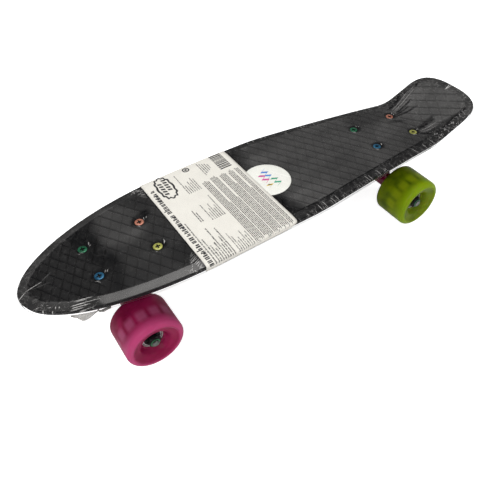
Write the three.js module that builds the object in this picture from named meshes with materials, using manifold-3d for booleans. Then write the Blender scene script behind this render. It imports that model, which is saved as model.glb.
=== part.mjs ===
// A small plastic cruiser skateboard in its retail wrapping: an arched deck with a kicktail, two steering
// trucks, four soft wheels with light-up cores, a paper sleeve, a round sticker and a clear shrink film.
// Millimetres. +X runs from the nose to the tail, +Y to the board's right side, +Z up.
// The origin lies on the floor under the middle of the board.

import * as THREE from 'three';
import { mergeVertices } from 'three/addons/utils/BufferGeometryUtils.js';
import Module from 'manifold-3d';

const wasm = await Module();
wasm.setup();

// ---------------------------------------------------------------------------------------------------------
// Driving dimensions
// ---------------------------------------------------------------------------------------------------------

const FIT = 0.3; // clearance between touching pieces
const BOLT_FIT = 0.6; // clearance round bolts, bushings, bearings and the kingpin
const THROUGH = 1; // how far a cutter runs past the surface it opens
const RUNNING_GAP = 0.6; // clearance round the pivot nose

// deck, seen from above
const BOARD_LENGTH = 576;
const BOARD_HALF_WIDTH = 71.5;
const NOSE_LENGTH = 185; // the elliptical nose
const PARALLEL_LENGTH = 102; // full width, behind the nose
const TAIL_LENGTH = 47; // narrow tail, behind the taper
const TAIL_HALF_WIDTH = 48.8;
const TAIL_CORNER = 32;
const TAIL_CORNER_POWER = 2.75; // superellipse exponent of the tail's end

// deck, seen from the side
const ARCH_RISE = 5.1; // height of the arch over the trucks
const KICK_LENGTH = 81; // from the end of the arch to the tail's end
const KICK_RADIUS = 55;
const KICK_ANGLE = 22; // degrees
const BEVEL_WIDTH = 9.5;
const BEVEL_DROP = 1;
const EDGE_HEIGHT = 7.5; // edge below the bevel
const EDGE_DRAFT = 2.5; // how far the edge leans in towards its foot
const PLATE_THICKNESS = 4; // floor of the ribbed underside
const RIM_WALL = 5.5;
const RIB_WIDTH = 3;
const RIB_PITCH = 30;
const PAD_DEPTH = 14; // deck thickness at the trucks
const PAD_MARGIN = 3; // pad round each baseplate

// trucks
const NOSE_TO_TRUCK = 103; // nose tip to the middle of the front bolts
const TRUCK_SPACING = 354;
const BOLT_SPACING_X = 62;
const BOLT_SPACING_Y = 41.3;
const TRUCK_HEIGHT = 57; // mounting face to axle
const AXLE_OFFSET = 8; // axle outwards of the middle of the bolts
const BASE_MARGIN = 8; // baseplate round the bolt pattern
const BASE_THICKNESS = 5;
const BASE_CORNER = 7;
const PIVOT_OFFSET = 25; // pivot ball outwards of the middle of the bolts
const PIVOT_DROP = 17;
const PIVOT_NOSE_ANGLE = 45; // degrees below the horizontal
const PIVOT_NOSE_RADIUS = 5;
const PIVOT_CUP_WALL = 2.4;
const PIVOT_BOSS_WALL = 2.6;
const RING_OFFSET = 9; // hanger ring inwards of the middle of the bolts
const RING_DROP = 34.5;
const RING_THICKNESS = 10;
const RING_RADIUS = 16;
const RING_HOLE_RADIUS = 7;
const SEAT_DEPTH = 1; // bushing seats in the ring's faces
const KINGPIN_LEAN = 15; // degrees from the vertical
const KINGPIN_RADIUS = 4.75;
const KINGPIN_HEAD_RADIUS = 8;
const KINGPIN_HEAD_HEIGHT = 5;
const KINGPIN_NUT_RADIUS = 8.2;
const KINGPIN_NUT_HEIGHT = 7;
const CUP_WASHER_RADIUS = 10;
const WASHER_THICKNESS = 1.5;
const KINGPIN_BOSS_WALL = 3.5; // at the baseplate
const KINGPIN_BOSS_RIM = 1; // at the bushing
const BUSHING_RADIUS = 11.5;
const BUSHING_TIP_RADIUS = 9;
const TOP_BUSHING_HEIGHT = 12; // between the baseplate and the ring
const BOTTOM_BUSHING_HEIGHT = 10; // between the ring and the kingpin nut
const BEAM_RADIUS = 9;
const BEAM_END_RADIUS = 6.6;
const WING_TAPER = 16.5; // beam end left bare of the wings
const WING_RISE = 0.7; // share of the way from the axle to the ring
const ARM_WIDTH = 12; // arm between the ring, the beam and the pivot nose
const ARM_HALF_DEPTH = 3.4;
const BUSHING_ROOM = 1.2; // hanger's clearance round the bushings
const AXLE_RADIUS = 4;
const THREAD_SHOWING = 1.5; // bolt or axle end beyond its nut

// wheels
const WHEEL_RADIUS = 31.5;
const WHEEL_WIDTH = 47;
const OUTER_TRACK = 151; // over the wheels' outer faces
const WHEEL_SHOULDER = 5.5;
const FACE_RING = 2; // flat ring inside the shoulder
const CORE_RADIUS = 19;
const CORE_SHOULDER_RADIUS = 7.5;
const DISH_WALL = 1; // wheel material over the core's side
const BEARING_RADIUS = 11;
const BEARING_WIDTH = 7;
const SPACER_LENGTH = 9.4;
const SPACER_RADIUS = 6.4;
const AXLE_NUT_RADIUS = 7.4;
const AXLE_NUT_HEIGHT = 6;
const SPEED_WASHER = 1;
const SPEED_WASHER_RADIUS = 7.6;

// deck bolts and lock nuts
const BOLT_RADIUS = 2.4;
const BOLT_HEAD_RADIUS = 4.8;
const BOLT_HEAD_HEIGHT = 2.8;
const BOLT_HEAD_PROUD = 0.2;
const CROSS_LENGTH = 5.2;
const CROSS_WIDTH = 1.1;
const CROSS_DEPTH = 1.6;
const LOCKNUT_RADIUS = 5.4;
const LOCKNUT_HEIGHT = 5;

// wrapping
const STICKER_DIAMETER = 55;
const STICKER_THICKNESS = 0.2;
const SLEEVE_FROM_NOSE = 159.3;
const SLEEVE_WIDTH = 107.7;
const SLEEVE_THICKNESS = 0.3;
const FILM_THICKNESS = 0.25;
const FILM_RETURN = 12; // film turned in below the edge

// facets
const WHEEL_FACETS = 24;
const BALL_FACETS = 6; // from pole to pole
const PIN_FACETS = 12;
const SMALL_FACETS = 10;
const NOSE_STEPS = 11;
const FLANK_STEPS = 12;
const KICK_STEPS = 4;
const TAIL_STEPS = 7;

// ---------------------------------------------------------------------------------------------------------
// Sizes that follow from them
// ---------------------------------------------------------------------------------------------------------

const noseX = -BOARD_LENGTH / 2;
const tailX = BOARD_LENGTH / 2;
const frontTruckX = noseX + NOSE_TO_TRUCK;
const rearTruckX = frontTruckX + TRUCK_SPACING;
const archMiddleX = (frontTruckX + rearTruckX) / 2;
const kickX = tailX - KICK_LENGTH;

const mountingZ = WHEEL_RADIUS + TRUCK_HEIGHT;
const padZ = mountingZ + FIT;
const deckZ = padZ + PAD_DEPTH; // deck top over the trucks
const edgeDepth = BEVEL_DROP + EDGE_HEIGHT;

const stickerGap = FIT;
const sleeveGap = stickerGap + STICKER_THICKNESS + FIT;
const filmGap = sleeveGap + SLEEVE_THICKNESS + FIT;

const baseHalfLength = BOLT_SPACING_X / 2 + BASE_MARGIN;
const baseHalfWidth = BOLT_SPACING_Y / 2 + BASE_MARGIN;
const padHalfLength = baseHalfLength + PAD_MARGIN;
const padHalfWidth = baseHalfWidth + PAD_MARGIN;

const wheelY = (OUTER_TRACK - WHEEL_WIDTH) / 2; // wheel centre from the board's middle
const coreHalfWidth = SPACER_LENGTH / 2 + FIT + BEARING_WIDTH;
const beamHalfLength = wheelY - coreHalfWidth - FIT;
const axleNutStart = wheelY + coreHalfWidth + FIT;
const axleHalfLength = axleNutStart + SPEED_WASHER + AXLE_NUT_HEIGHT + THREAD_SHOWING;

// ---------------------------------------------------------------------------------------------------------
// Materials
// ---------------------------------------------------------------------------------------------------------

function finish(color, roughness, metalness = 0, opacity = 1) {
  return new THREE.MeshStandardMaterial({ color, roughness, metalness, opacity, transparent: opacity < 1 });
}

const FINISHES = {
  deck: finish(0x1b1b1c, 0.55),
  film: finish(0xdfe3e6, 0.15, 0, 0.25),
  paper: finish(0xece9e2, 0.9),
  sticker: finish(0xf2f0ea, 0.6),
  truck: finish(0x7c0a38, 0.45),
  steel: finish(0xa6a6a8, 0.35, 1),
  blackSteel: finish(0x232325, 0.5, 0.6),
  zinc: finish(0xb9bcc0, 0.3, 1),
  bushing: finish(0x2a2a2c, 0.7),
  cup: finish(0x1d1d1f, 0.7),
  pink: finish(0xc83a80, 0.3),
  green: finish(0x86a01c, 0.3),
  core: finish(0xd9d2cf, 0.5),
  boltGreen: finish(0x1f7f4c, 0.4, 0.5),
  boltBlue: finish(0x2679a8, 0.4, 0.5),
  boltOrange: finish(0xd9775b, 0.4, 0.5),
  boltYellow: finish(0xa9a83f, 0.4, 0.5),
};

// ---------------------------------------------------------------------------------------------------------
// Solids
// ---------------------------------------------------------------------------------------------------------

function solidOf(geometry) {
  const bare = geometry.index ? geometry.toNonIndexed() : geometry.clone();
  bare.deleteAttribute('normal');
  bare.deleteAttribute('uv');
  const merged = mergeVertices(bare, 1e-4);
  const vertProperties = new Float32Array(merged.attributes.position.array);
  const triVerts = new Uint32Array(merged.index.array);
  return new wasm.Manifold(new wasm.Mesh({ numProp: 3, vertProperties, triVerts }));
}

function geometryOf(solid) {
  const mesh = solid.getMesh();
  const geometry = new THREE.BufferGeometry();
  geometry.setAttribute('position', new THREE.BufferAttribute(new Float32Array(mesh.vertProperties), 3));
  geometry.setIndex(new THREE.BufferAttribute(new Uint32Array(mesh.triVerts), 1));
  geometry.computeVertexNormals();
  return geometry;
}

function joined(geometries) {
  return geometries.map(solidOf).reduce((whole, piece) => whole.add(piece));
}

function cut(solid, geometries) {
  return geometries.map(solidOf).reduce((whole, tool) => whole.subtract(tool), solid);
}

function named(name, geometry, material) {
  const mesh = new THREE.Mesh(geometry, material);
  mesh.name = name;
  return mesh;
}

// A round bar from one point to another, with its own radius at each end.
function bar(from, to, fromRadius, toRadius = fromRadius, facets = PIN_FACETS) {
  const axis = new THREE.Vector3().subVectors(to, from);
  const geometry = new THREE.CylinderGeometry(toRadius, fromRadius, axis.length(), facets);
  const up = new THREE.Vector3(0, 1, 0);
  geometry.applyQuaternion(new THREE.Quaternion().setFromUnitVectors(up, axis.clone().normalize()));
  const middle = new THREE.Vector3().addVectors(from, to).multiplyScalar(0.5);
  return geometry.translate(middle.x, middle.y, middle.z);
}

// A ring turned about the Y axis. Its section is a list of [radius, y] that closes on itself.
function turned(section, facets) {
  const points = section.map(([radius, y]) => new THREE.Vector2(radius, y));
  return outward(new THREE.LatheGeometry([...points, points[0]], facets));
}

// The same geometry, with its faces turned round if they point inwards.
function outward(geometry) {
  const flat = geometry.index ? geometry.toNonIndexed() : geometry;
  const at = flat.attributes.position;
  const [a, b, c] = [new THREE.Vector3(), new THREE.Vector3(), new THREE.Vector3()];
  let volume = 0;
  for (let i = 0; i < at.count; i += 3) {
    a.fromBufferAttribute(at, i);
    b.fromBufferAttribute(at, i + 1);
    c.fromBufferAttribute(at, i + 2);
    volume += a.dot(b.cross(c));
  }
  if (volume > 0) {
    return flat;
  }
  for (let i = 0; i < at.count; i += 3) {
    b.fromBufferAttribute(at, i + 1);
    c.fromBufferAttribute(at, i + 2);
    at.setXYZ(i + 1, c.x, c.y, c.z);
    at.setXYZ(i + 2, b.x, b.y, b.z);
  }
  return flat;
}

// A plate of the given thickness, whose outline is a list of [x, z], centred on the XZ plane.
function sidePlate(outline, thickness) {
  const shape = new THREE.Shape(outline.map(([x, z]) => new THREE.Vector2(x, z)));
  const plate = new THREE.ExtrudeGeometry(shape, { depth: thickness, bevelEnabled: false });
  return plate.translate(0, 0, -thickness / 2).rotateX(Math.PI / 2);
}

// A plate of the given thickness, whose outline is a list of [y, z], centred on the YZ plane.
function frontPlate(outline, thickness) {
  const shape = new THREE.Shape(outline.map(([y, z]) => new THREE.Vector2(y, z)));
  const plate = new THREE.ExtrudeGeometry(shape, { depth: thickness, bevelEnabled: false });
  return plate.translate(0, 0, -thickness / 2).rotateX(Math.PI / 2).rotateZ(Math.PI / 2);
}

// Half of a rounded rectangle as [x, y] from its low end to its high end, on the side of +Y.
function roundedHalf(halfLength, halfWidth, corner, steps = 3) {
  const half = [[-halfLength, 0]];
  for (const end of [-1, 1]) {
    for (let i = 0; i <= steps; i += 1) {
      const turn = ((end < 0 ? i : steps - i) / steps) * (Math.PI / 2);
      const x = end * (halfLength - corner + corner * Math.cos(turn));
      half.push([x, halfWidth - corner + corner * Math.sin(turn)]);
    }
  }
  half.push([halfLength, 0]);
  return half;
}

// A closed ring of points made from one half, [x, y, z] from low to high x, and its mirror image in Y.
function mirrorRing(half) {
  const back = half.slice(1, -1).reverse().map(([x, y, z]) => [x, -y, z]);
  return [...half, ...back];
}

// A body through rings of equal size. Open ends are closed across between mirrored points,
// and a looped body joins its last ring to its first.
function loft(rings, looped = false) {
  const positions = [];
  const size = rings[0].length;
  const face = (...corners) => corners.forEach((corner) => positions.push(...corner));
  const joins = looped ? rings.length : rings.length - 1;
  for (let r = 0; r < joins; r += 1) {
    const low = rings[r];
    const high = rings[(r + 1) % rings.length];
    for (let i = 0; i < size; i += 1) {
      const next = (i + 1) % size;
      face(low[i], low[next], high[next]);
      face(low[i], high[next], high[i]);
    }
  }
  if (!looped) {
    cap(rings[0], true, face);
    cap(rings[rings.length - 1], false, face);
  }
  const geometry = new THREE.BufferGeometry();
  geometry.setAttribute('position', new THREE.BufferAttribute(new Float32Array(positions), 3));
  return outward(geometry);
}

function cap(ring, first, face) {
  const size = ring.length;
  const side = (a, b, c) => (first ? face(a, c, b) : face(a, b, c));
  for (let i = 0; i < size / 2; i += 1) {
    const mirror = (size - i) % size;
    const mirrorNext = size - i - 1;
    if (i + 1 < mirrorNext) {
      side(ring[i], ring[i + 1], ring[mirrorNext]);
    }
    if (i > 0) {
      side(ring[i], ring[mirrorNext], ring[mirror]);
    }
  }
}

// ---------------------------------------------------------------------------------------------------------
// The deck's form
// ---------------------------------------------------------------------------------------------------------

// Height of the deck's top along the board: a parabola, then an arc, then the straight kicktail.
function archHeight(x) {
  return deckZ + ARCH_RISE * (1 - ((x - archMiddleX) / (TRUCK_SPACING / 2)) ** 2);
}

const kickEntry = Math.atan((-2 * ARCH_RISE * (kickX - archMiddleX)) / (TRUCK_SPACING / 2) ** 2);
const kickExit = THREE.MathUtils.degToRad(KICK_ANGLE);
const kickCentreX = kickX - KICK_RADIUS * Math.sin(kickEntry);
const kickCentreZ = archHeight(kickX) + KICK_RADIUS * Math.cos(kickEntry);
const kickEndX = kickCentreX + KICK_RADIUS * Math.sin(kickExit);

function topHeight(x) {
  if (x < kickX) {
    return archHeight(x);
  }
  const onArc = Math.min(x, kickEndX) - kickCentreX;
  const arc = kickCentreZ - Math.sqrt(KICK_RADIUS ** 2 - onArc ** 2);
  return arc + Math.max(0, x - kickEndX) * Math.tan(kickExit);
}

// A ramp from 0 to 1 with soft ends.
function softRamp(t, ease = 0.15) {
  const middle = (u) => (u - ease / 2) / (1 - ease);
  const start = (u) => (u * u) / (2 * ease * (1 - ease));
  if (t < ease) {
    return start(Math.max(0, t));
  }
  return t > 1 - ease ? 1 - start(Math.max(0, 1 - t)) : middle(t);
}

const flankX = noseX + NOSE_LENGTH;
const taperX = flankX + PARALLEL_LENGTH;
const taperEndX = tailX - TAIL_LENGTH;

function flankHalfWidth(x) {
  const taper = softRamp(THREE.MathUtils.clamp((x - taperX) / (taperEndX - taperX), 0, 1));
  return THREE.MathUtils.lerp(BOARD_HALF_WIDTH, TAIL_HALF_WIDTH, taper);
}

// Half of the deck's outline as [x, y] from the nose tip to the tail's end.
function deckOutline() {
  const half = [];
  for (let i = 0; i < NOSE_STEPS; i += 1) {
    const turn = (i / NOSE_STEPS) * (Math.PI / 2);
    half.push([flankX - NOSE_LENGTH * Math.cos(turn), BOARD_HALF_WIDTH * Math.sin(turn)]);
  }
  const cornerX = tailX - TAIL_CORNER;
  const stops = [
    [flankX, kickX, FLANK_STEPS],
    [kickX, kickEndX, KICK_STEPS],
    [kickEndX, cornerX, 1],
  ];
  for (const [from, to, steps] of stops) {
    for (let i = 0; i < steps; i += 1) {
      const x = THREE.MathUtils.lerp(from, to, i / steps);
      if (x < cornerX - 1) {
        half.push([x, flankHalfWidth(x)]);
      }
    }
  }
  for (let i = 0; i <= TAIL_STEPS; i += 1) {
    const turn = (i / TAIL_STEPS) * (Math.PI / 2);
    const along = Math.sin(turn) ** (2 / TAIL_CORNER_POWER);
    const across = i === TAIL_STEPS ? 0 : Math.cos(turn) ** (2 / TAIL_CORNER_POWER);
    half.push([cornerX + TAIL_CORNER * along, flankHalfWidth(cornerX + TAIL_CORNER * along) * across]);
  }
  return half;
}

const outline = deckOutline();

// The outline moved inwards by a distance, or outwards by a negative one.
function insetOutline(inset) {
  const last = outline.length - 1;
  return outline.map(([x, y], i) => {
    const before = i === 0 ? [outline[1][0], -outline[1][1]] : outline[i - 1];
    const after = i === last ? [outline[last - 1][0], -outline[last - 1][1]] : outline[i + 1];
    const along = new THREE.Vector2(after[0] - before[0], after[1] - before[1]).normalize();
    return [x + along.y * inset, i === 0 || i === last ? 0 : y - along.x * inset];
  });
}

// Half width of the inset outline at one place along the board.
function halfWidthAt(x, inset) {
  const half = insetOutline(inset);
  const after = half.findIndex((point) => point[0] > x);
  if (after < 1) {
    return 0;
  }
  const [[x0, y0], [x1, y1]] = [half[after - 1], half[after]];
  return THREE.MathUtils.mapLinear(x, x0, x1, y0, y1);
}

// A corner of the section moved outwards by a gap, between two faces with these outward directions.
function offsetCorner([inset, lift], before, after, gap) {
  const reach = gap / (1 + before[0] * after[0] + before[1] * after[1]);
  return { inset: inset + (before[0] + after[0]) * reach, lift: lift + (before[1] + after[1]) * reach };
}

const bevelSlope = Math.atan(BEVEL_DROP / BEVEL_WIDTH);
const edgeLean = Math.atan(EDGE_DRAFT / EDGE_HEIGHT);

// The corners of the deck's section, moved outwards by a gap: inner and outer bevel edge, lower edge.
function sectionCorners(gap) {
  const [up, down] = [[0, 1], [0, -1]];
  const bevel = [-Math.sin(bevelSlope), Math.cos(bevelSlope)];
  const edge = [-Math.cos(edgeLean), -Math.sin(edgeLean)];
  return [
    offsetCorner([BEVEL_WIDTH, 0], up, bevel, gap),
    offsetCorner([0, -BEVEL_DROP], bevel, edge, gap),
    offsetCorner([EDGE_DRAFT, -edgeDepth], edge, down, gap),
  ];
}

function deckRing({ inset, lift }) {
  return mirrorRing(insetOutline(inset).map(([x, y]) => [x, y, topHeight(x) + lift]));
}

// ---------------------------------------------------------------------------------------------------------
// Deck
// ---------------------------------------------------------------------------------------------------------

const truckStations = [
  { end: 'front', x: frontTruckX, outwards: -1 },
  { end: 'rear', x: rearTruckX, outwards: 1 },
];

// The eight bolt places: fore is nearer the nose, and right is +Y.
function boltPlaces() {
  const places = [];
  for (const { end, x } of truckStations) {
    for (const [row, along] of [['fore', -1], ['aft', 1]]) {
      for (const [side, across] of [['left', -1], ['right', 1]]) {
        const place = { name: `${end}_${row}_${side}`, row, side };
        places.push({ ...place, x: x + along * (BOLT_SPACING_X / 2), y: across * (BOLT_SPACING_Y / 2) });
      }
    }
  }
  return places;
}

const headZ = (x) => topHeight(x) + BOLT_HEAD_PROUD;

function truckPad(x) {
  const half = roundedHalf(padHalfLength, padHalfWidth, BASE_CORNER + PAD_MARGIN);
  const low = half.map(([dx, y]) => [x + dx, y, padZ]);
  const high = half.map(([dx, y]) => [x + dx, y, topHeight(x + dx) - PLATE_THICKNESS]);
  return loft([mirrorRing(low), mirrorRing(high)]);
}

// One pocket of the ribbed underside, between two places along the board and two across it.
function pocket(x0, x1, innerY, outerY) {
  const corners = [[x0, innerY(x0)], [x0, outerY(x0)], [x1, outerY(x1)], [x1, innerY(x1)]];
  const low = corners.map(([x, y]) => [x, y, topHeight(x) - edgeDepth - PLATE_THICKNESS]);
  const high = corners.map(([x, y]) => [x, y, topHeight(x) - PLATE_THICKNESS]);
  return loft([low, high]);
}

function pockets() {
  const made = [];
  const ribHalf = RIB_WIDTH / 2;
  const columnY = padHalfWidth + ribHalf;
  const rimY = (x) => halfWidthAt(x, RIM_WALL);
  const columns = [
    { inner: () => ribHalf, outer: (x) => Math.min(columnY - ribHalf, rimY(x)), beside: false },
    { inner: () => columnY + ribHalf, outer: rimY, beside: true },
  ];
  const padEnds = padHalfLength + RIB_WIDTH;
  const spans = [
    [noseX + BEVEL_WIDTH + RIM_WALL, frontTruckX - padEnds, false],
    [frontTruckX - padEnds + RIB_WIDTH, frontTruckX + padEnds - RIB_WIDTH, true],
    [frontTruckX + padEnds, rearTruckX - padEnds, false],
    [rearTruckX - padEnds + RIB_WIDTH, Math.min(rearTruckX + padEnds, kickX) - RIB_WIDTH, true],
    [kickEndX, tailX - TAIL_CORNER / 2, false],
  ];
  for (const [from, to, atPad] of spans) {
    const rows = Math.max(1, Math.round((to - from + RIB_WIDTH) / RIB_PITCH));
    const pitch = (to - from + RIB_WIDTH) / rows;
    for (let row = 0; row < rows; row += 1) {
      const x0 = from + row * pitch;
      const x1 = x0 + pitch - RIB_WIDTH;
      for (const { inner, outer, beside } of columns) {
        const narrowest = Math.min(outer(x0) - inner(x0), outer(x1) - inner(x1));
        if (narrowest < RIB_WIDTH || (atPad && !beside)) {
          continue;
        }
        made.push(pocket(x0, x1, inner, outer));
        made.push(pocket(x0, x1, (x) => -outer(x), (x) => -inner(x)));
      }
    }
  }
  return made;
}

function makeDeck() {
  const slab = loft(sectionCorners(0).map(deckRing));
  const body = joined([slab, ...truckStations.map(({ x }) => truckPad(x))]);
  const holes = boltPlaces().flatMap(({ x, y }) => {
    const top = new THREE.Vector3(x, y, headZ(x) + THROUGH);
    const seat = new THREE.Vector3(x, y, headZ(x) - BOLT_HEAD_HEIGHT - FIT);
    const below = new THREE.Vector3(x, y, padZ - THROUGH);
    const slope = (BOLT_HEAD_RADIUS - BOLT_RADIUS) / BOLT_HEAD_HEIGHT;
    const hole = BOLT_RADIUS + BOLT_FIT;
    const mouth = hole + slope * (top.z - seat.z);
    return [bar(seat, top, hole, mouth, SMALL_FACETS), bar(below, top, hole, hole, SMALL_FACETS)];
  });
  return geometryOf(cut(body, [...pockets(), ...holes]));
}

// ---------------------------------------------------------------------------------------------------------
// Wrapping
// ---------------------------------------------------------------------------------------------------------

function makeFilm() {
  const skin = (gap) => {
    const rings = sectionCorners(gap);
    return [...rings, { inset: FILM_RETURN, lift: rings[2].lift }].map(deckRing);
  };
  return loft([...skin(filmGap), ...skin(filmGap + FILM_THICKNESS).reverse()]);
}

function makeSleeve(steps = 4) {
  const from = noseX + SLEEVE_FROM_NOSE;
  const band = (gap) => {
    const corners = sectionCorners(gap);
    return Array.from({ length: steps + 1 }, (_, i) => {
      const x = from + (SLEEVE_WIDTH * i) / steps;
      const half = corners.map(({ inset, lift }) => [x, halfWidthAt(x, inset), topHeight(x) + lift]);
      return [...half, ...half.map(([px, py, pz]) => [px, -py, pz]).reverse()];
    });
  };
  return loft([...band(sleeveGap), ...band(sleeveGap + SLEEVE_THICKNESS).reverse()], true);
}

function makeSticker(steps = 12) {
  const disc = (lift) => {
    const half = Array.from({ length: steps + 1 }, (_, i) => {
      const turn = (i / steps) * Math.PI;
      const x = archMiddleX - (STICKER_DIAMETER / 2) * Math.cos(turn);
      const y = i === 0 || i === steps ? 0 : (STICKER_DIAMETER / 2) * Math.sin(turn);
      return [x, y, topHeight(x) + lift];
    });
    return mirrorRing(half);
  };
  return loft([disc(stickerGap), disc(stickerGap + STICKER_THICKNESS)]);
}

// ---------------------------------------------------------------------------------------------------------
// Deck bolts and lock nuts
// ---------------------------------------------------------------------------------------------------------

const locknutTopZ = mountingZ - BASE_THICKNESS - FIT;
const boltEndZ = locknutTopZ - LOCKNUT_HEIGHT - THREAD_SHOWING;

// A countersunk bolt with a cross recess, its head's top at the origin.
function makeBolt(length) {
  const at = (z) => new THREE.Vector3(0, 0, z);
  const head = bar(at(-BOLT_HEAD_HEIGHT), at(0), BOLT_RADIUS, BOLT_HEAD_RADIUS, SMALL_FACETS);
  const shank = bar(at(-length), at(-BOLT_HEAD_HEIGHT / 2), BOLT_RADIUS, BOLT_RADIUS, SMALL_FACETS);
  const slot = () => new THREE.BoxGeometry(CROSS_LENGTH, CROSS_WIDTH, 2 * CROSS_DEPTH);
  return geometryOf(cut(joined([head, shank]), [slot(), slot().rotateZ(Math.PI / 2)]));
}

// A six-sided lock nut, its top at the origin.
function makeLocknut() {
  const at = (z) => new THREE.Vector3(0, 0, z);
  const holeRadius = BOLT_RADIUS + FIT;
  const hex = bar(at(-LOCKNUT_HEIGHT), at(0), LOCKNUT_RADIUS, LOCKNUT_RADIUS, 6);
  const hole = bar(at(-LOCKNUT_HEIGHT - THROUGH), at(THROUGH), holeRadius, holeRadius, SMALL_FACETS);
  return geometryOf(cut(joined([hex]), [hole]));
}

// ---------------------------------------------------------------------------------------------------------
// Truck, in its own frame: origin in the middle of the mounting face, +X outwards, +Z up
// ---------------------------------------------------------------------------------------------------------

const lean = THREE.MathUtils.degToRad(KINGPIN_LEAN);
const noseTurn = THREE.MathUtils.degToRad(PIVOT_NOSE_ANGLE);
const pivotBall = new THREE.Vector3(PIVOT_OFFSET, 0, -PIVOT_DROP);
const ringCentre = new THREE.Vector3(-RING_OFFSET, 0, -RING_DROP);
const axleCentre = new THREE.Vector3(AXLE_OFFSET, 0, -TRUCK_HEIGHT);
const kingpinDown = new THREE.Vector3(-Math.sin(lean), 0, -Math.cos(lean));
const noseDown = new THREE.Vector3(-Math.cos(noseTurn), 0, -Math.sin(noseTurn));

const alongKingpin = (distance) => ringCentre.clone().addScaledVector(kingpinDown, distance);
const alongNose = (distance) => pivotBall.clone().addScaledVector(noseDown, distance);

const cupInnerRadius = PIVOT_NOSE_RADIUS + RUNNING_GAP;
const cupOuterRadius = cupInnerRadius + PIVOT_CUP_WALL;
const cupMouth = 3; // cup beyond the ball's centre, towards the hanger
const cupEnd = -cupInnerRadius - PIVOT_CUP_WALL; // closed end of the cup
const bossRadius = cupOuterRadius + FIT + PIVOT_BOSS_WALL;

const ringHalf = RING_THICKNESS / 2;
const seatHeight = ringHalf - SEAT_DEPTH; // bushing seat from the ring's middle
const topBushingEnd = -seatHeight - FIT - TOP_BUSHING_HEIGHT;
const baseSeat = topBushingEnd - FIT;
const bottomBushingEnd = seatHeight + FIT + BOTTOM_BUSHING_HEIGHT;
const kingpinNutStart = bottomBushingEnd + FIT;
const kingpinNutEnd = kingpinNutStart + WASHER_THICKNESS + KINGPIN_NUT_HEIGHT;
const headDip = FIT + KINGPIN_HEAD_RADIUS * Math.sin(lean); // keeps the tilted head below the mounting face
const kingpinHeadTop = (headDip - RING_DROP) / Math.cos(lean);
const kingpinHeadEnd = kingpinHeadTop + KINGPIN_HEAD_HEIGHT;

function truckBoltPlaces() {
  return [-1, 1].flatMap((i) => [-1, 1].map((j) => [i * (BOLT_SPACING_X / 2), j * (BOLT_SPACING_Y / 2)]));
}

function makeBaseplate() {
  const half = roundedHalf(baseHalfLength, baseHalfWidth, BASE_CORNER);
  const slice = (z) => mirrorRing(half.map(([x, y]) => [x, y, z]));
  const plate = loft([slice(-BASE_THICKNESS), slice(0)]);
  const bossTop = alongNose(cupEnd - 2 * PIVOT_BOSS_WALL);
  const pivotBoss = bar(bossTop, alongNose(cupMouth), bossRadius);
  const bossRoot = BUSHING_RADIUS + KINGPIN_BOSS_WALL;
  const bossRim = BUSHING_RADIUS + KINGPIN_BOSS_RIM;
  const kingpinBoss = bar(alongKingpin(kingpinHeadTop), alongKingpin(baseSeat), bossRoot, bossRim);
  const body = joined([plate, pivotBoss, kingpinBoss]);
  const above = new THREE.BoxGeometry(4 * baseHalfLength, 4 * baseHalfWidth, TRUCK_HEIGHT);
  above.translate(0, 0, TRUCK_HEIGHT / 2);
  const cupPocket = bar(alongNose(cupEnd - FIT), alongNose(cupMouth + THROUGH), cupOuterRadius + FIT);
  const headRoom = alongKingpin(kingpinHeadTop - KINGPIN_HEAD_HEIGHT);
  const headPocket = bar(headRoom, alongKingpin(kingpinHeadEnd + FIT), KINGPIN_HEAD_RADIUS + BOLT_FIT);
  const shankHole = bar(headRoom, alongKingpin(baseSeat + THROUGH), KINGPIN_RADIUS + BOLT_FIT);
  const boltHoles = truckBoltPlaces().map(([x, y]) => {
    const low = new THREE.Vector3(x, y, -BASE_THICKNESS - THROUGH);
    const high = new THREE.Vector3(x, y, THROUGH);
    return bar(low, high, BOLT_RADIUS + BOLT_FIT, BOLT_RADIUS + BOLT_FIT, SMALL_FACETS);
  });
  return geometryOf(cut(body, [above, cupPocket, headPocket, shankHole, ...boltHoles]));
}

function makePivotCup() {
  const outer = bar(alongNose(cupEnd), alongNose(cupMouth), cupOuterRadius);
  const inner = bar(pivotBall, alongNose(cupMouth + THROUGH), cupInnerRadius);
  const ball = new THREE.SphereGeometry(cupInnerRadius, PIN_FACETS, BALL_FACETS);
  ball.translate(pivotBall.x, pivotBall.y, pivotBall.z);
  return geometryOf(cut(joined([outer]), [inner, ball]));
}

function makeKingpin() {
  const headRadius = KINGPIN_HEAD_RADIUS;
  const head = bar(alongKingpin(kingpinHeadTop), alongKingpin(kingpinHeadEnd), headRadius, headRadius, 6);
  const inHead = alongKingpin(kingpinHeadTop + KINGPIN_HEAD_HEIGHT / 2);
  const shank = bar(inHead, alongKingpin(kingpinNutEnd + THREAD_SHOWING), KINGPIN_RADIUS);
  return geometryOf(joined([head, shank]));
}

function kingpinHole(start, end) {
  return bar(alongKingpin(start - THROUGH), alongKingpin(end + THROUGH), KINGPIN_RADIUS + FIT);
}

function makeKingpinNut() {
  const start = alongKingpin(kingpinNutStart);
  const washer = bar(start, alongKingpin(kingpinNutStart + WASHER_THICKNESS), CUP_WASHER_RADIUS);
  const nut = bar(start, alongKingpin(kingpinNutEnd), KINGPIN_NUT_RADIUS, KINGPIN_NUT_RADIUS, 6);
  return geometryOf(cut(joined([washer, nut]), [kingpinHole(kingpinNutStart, kingpinNutEnd)]));
}

function makeBushing(start, end, startRadius, endRadius) {
  const body = bar(alongKingpin(start), alongKingpin(end), startRadius, endRadius);
  return geometryOf(cut(joined([body]), [kingpinHole(start, end)]));
}

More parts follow.
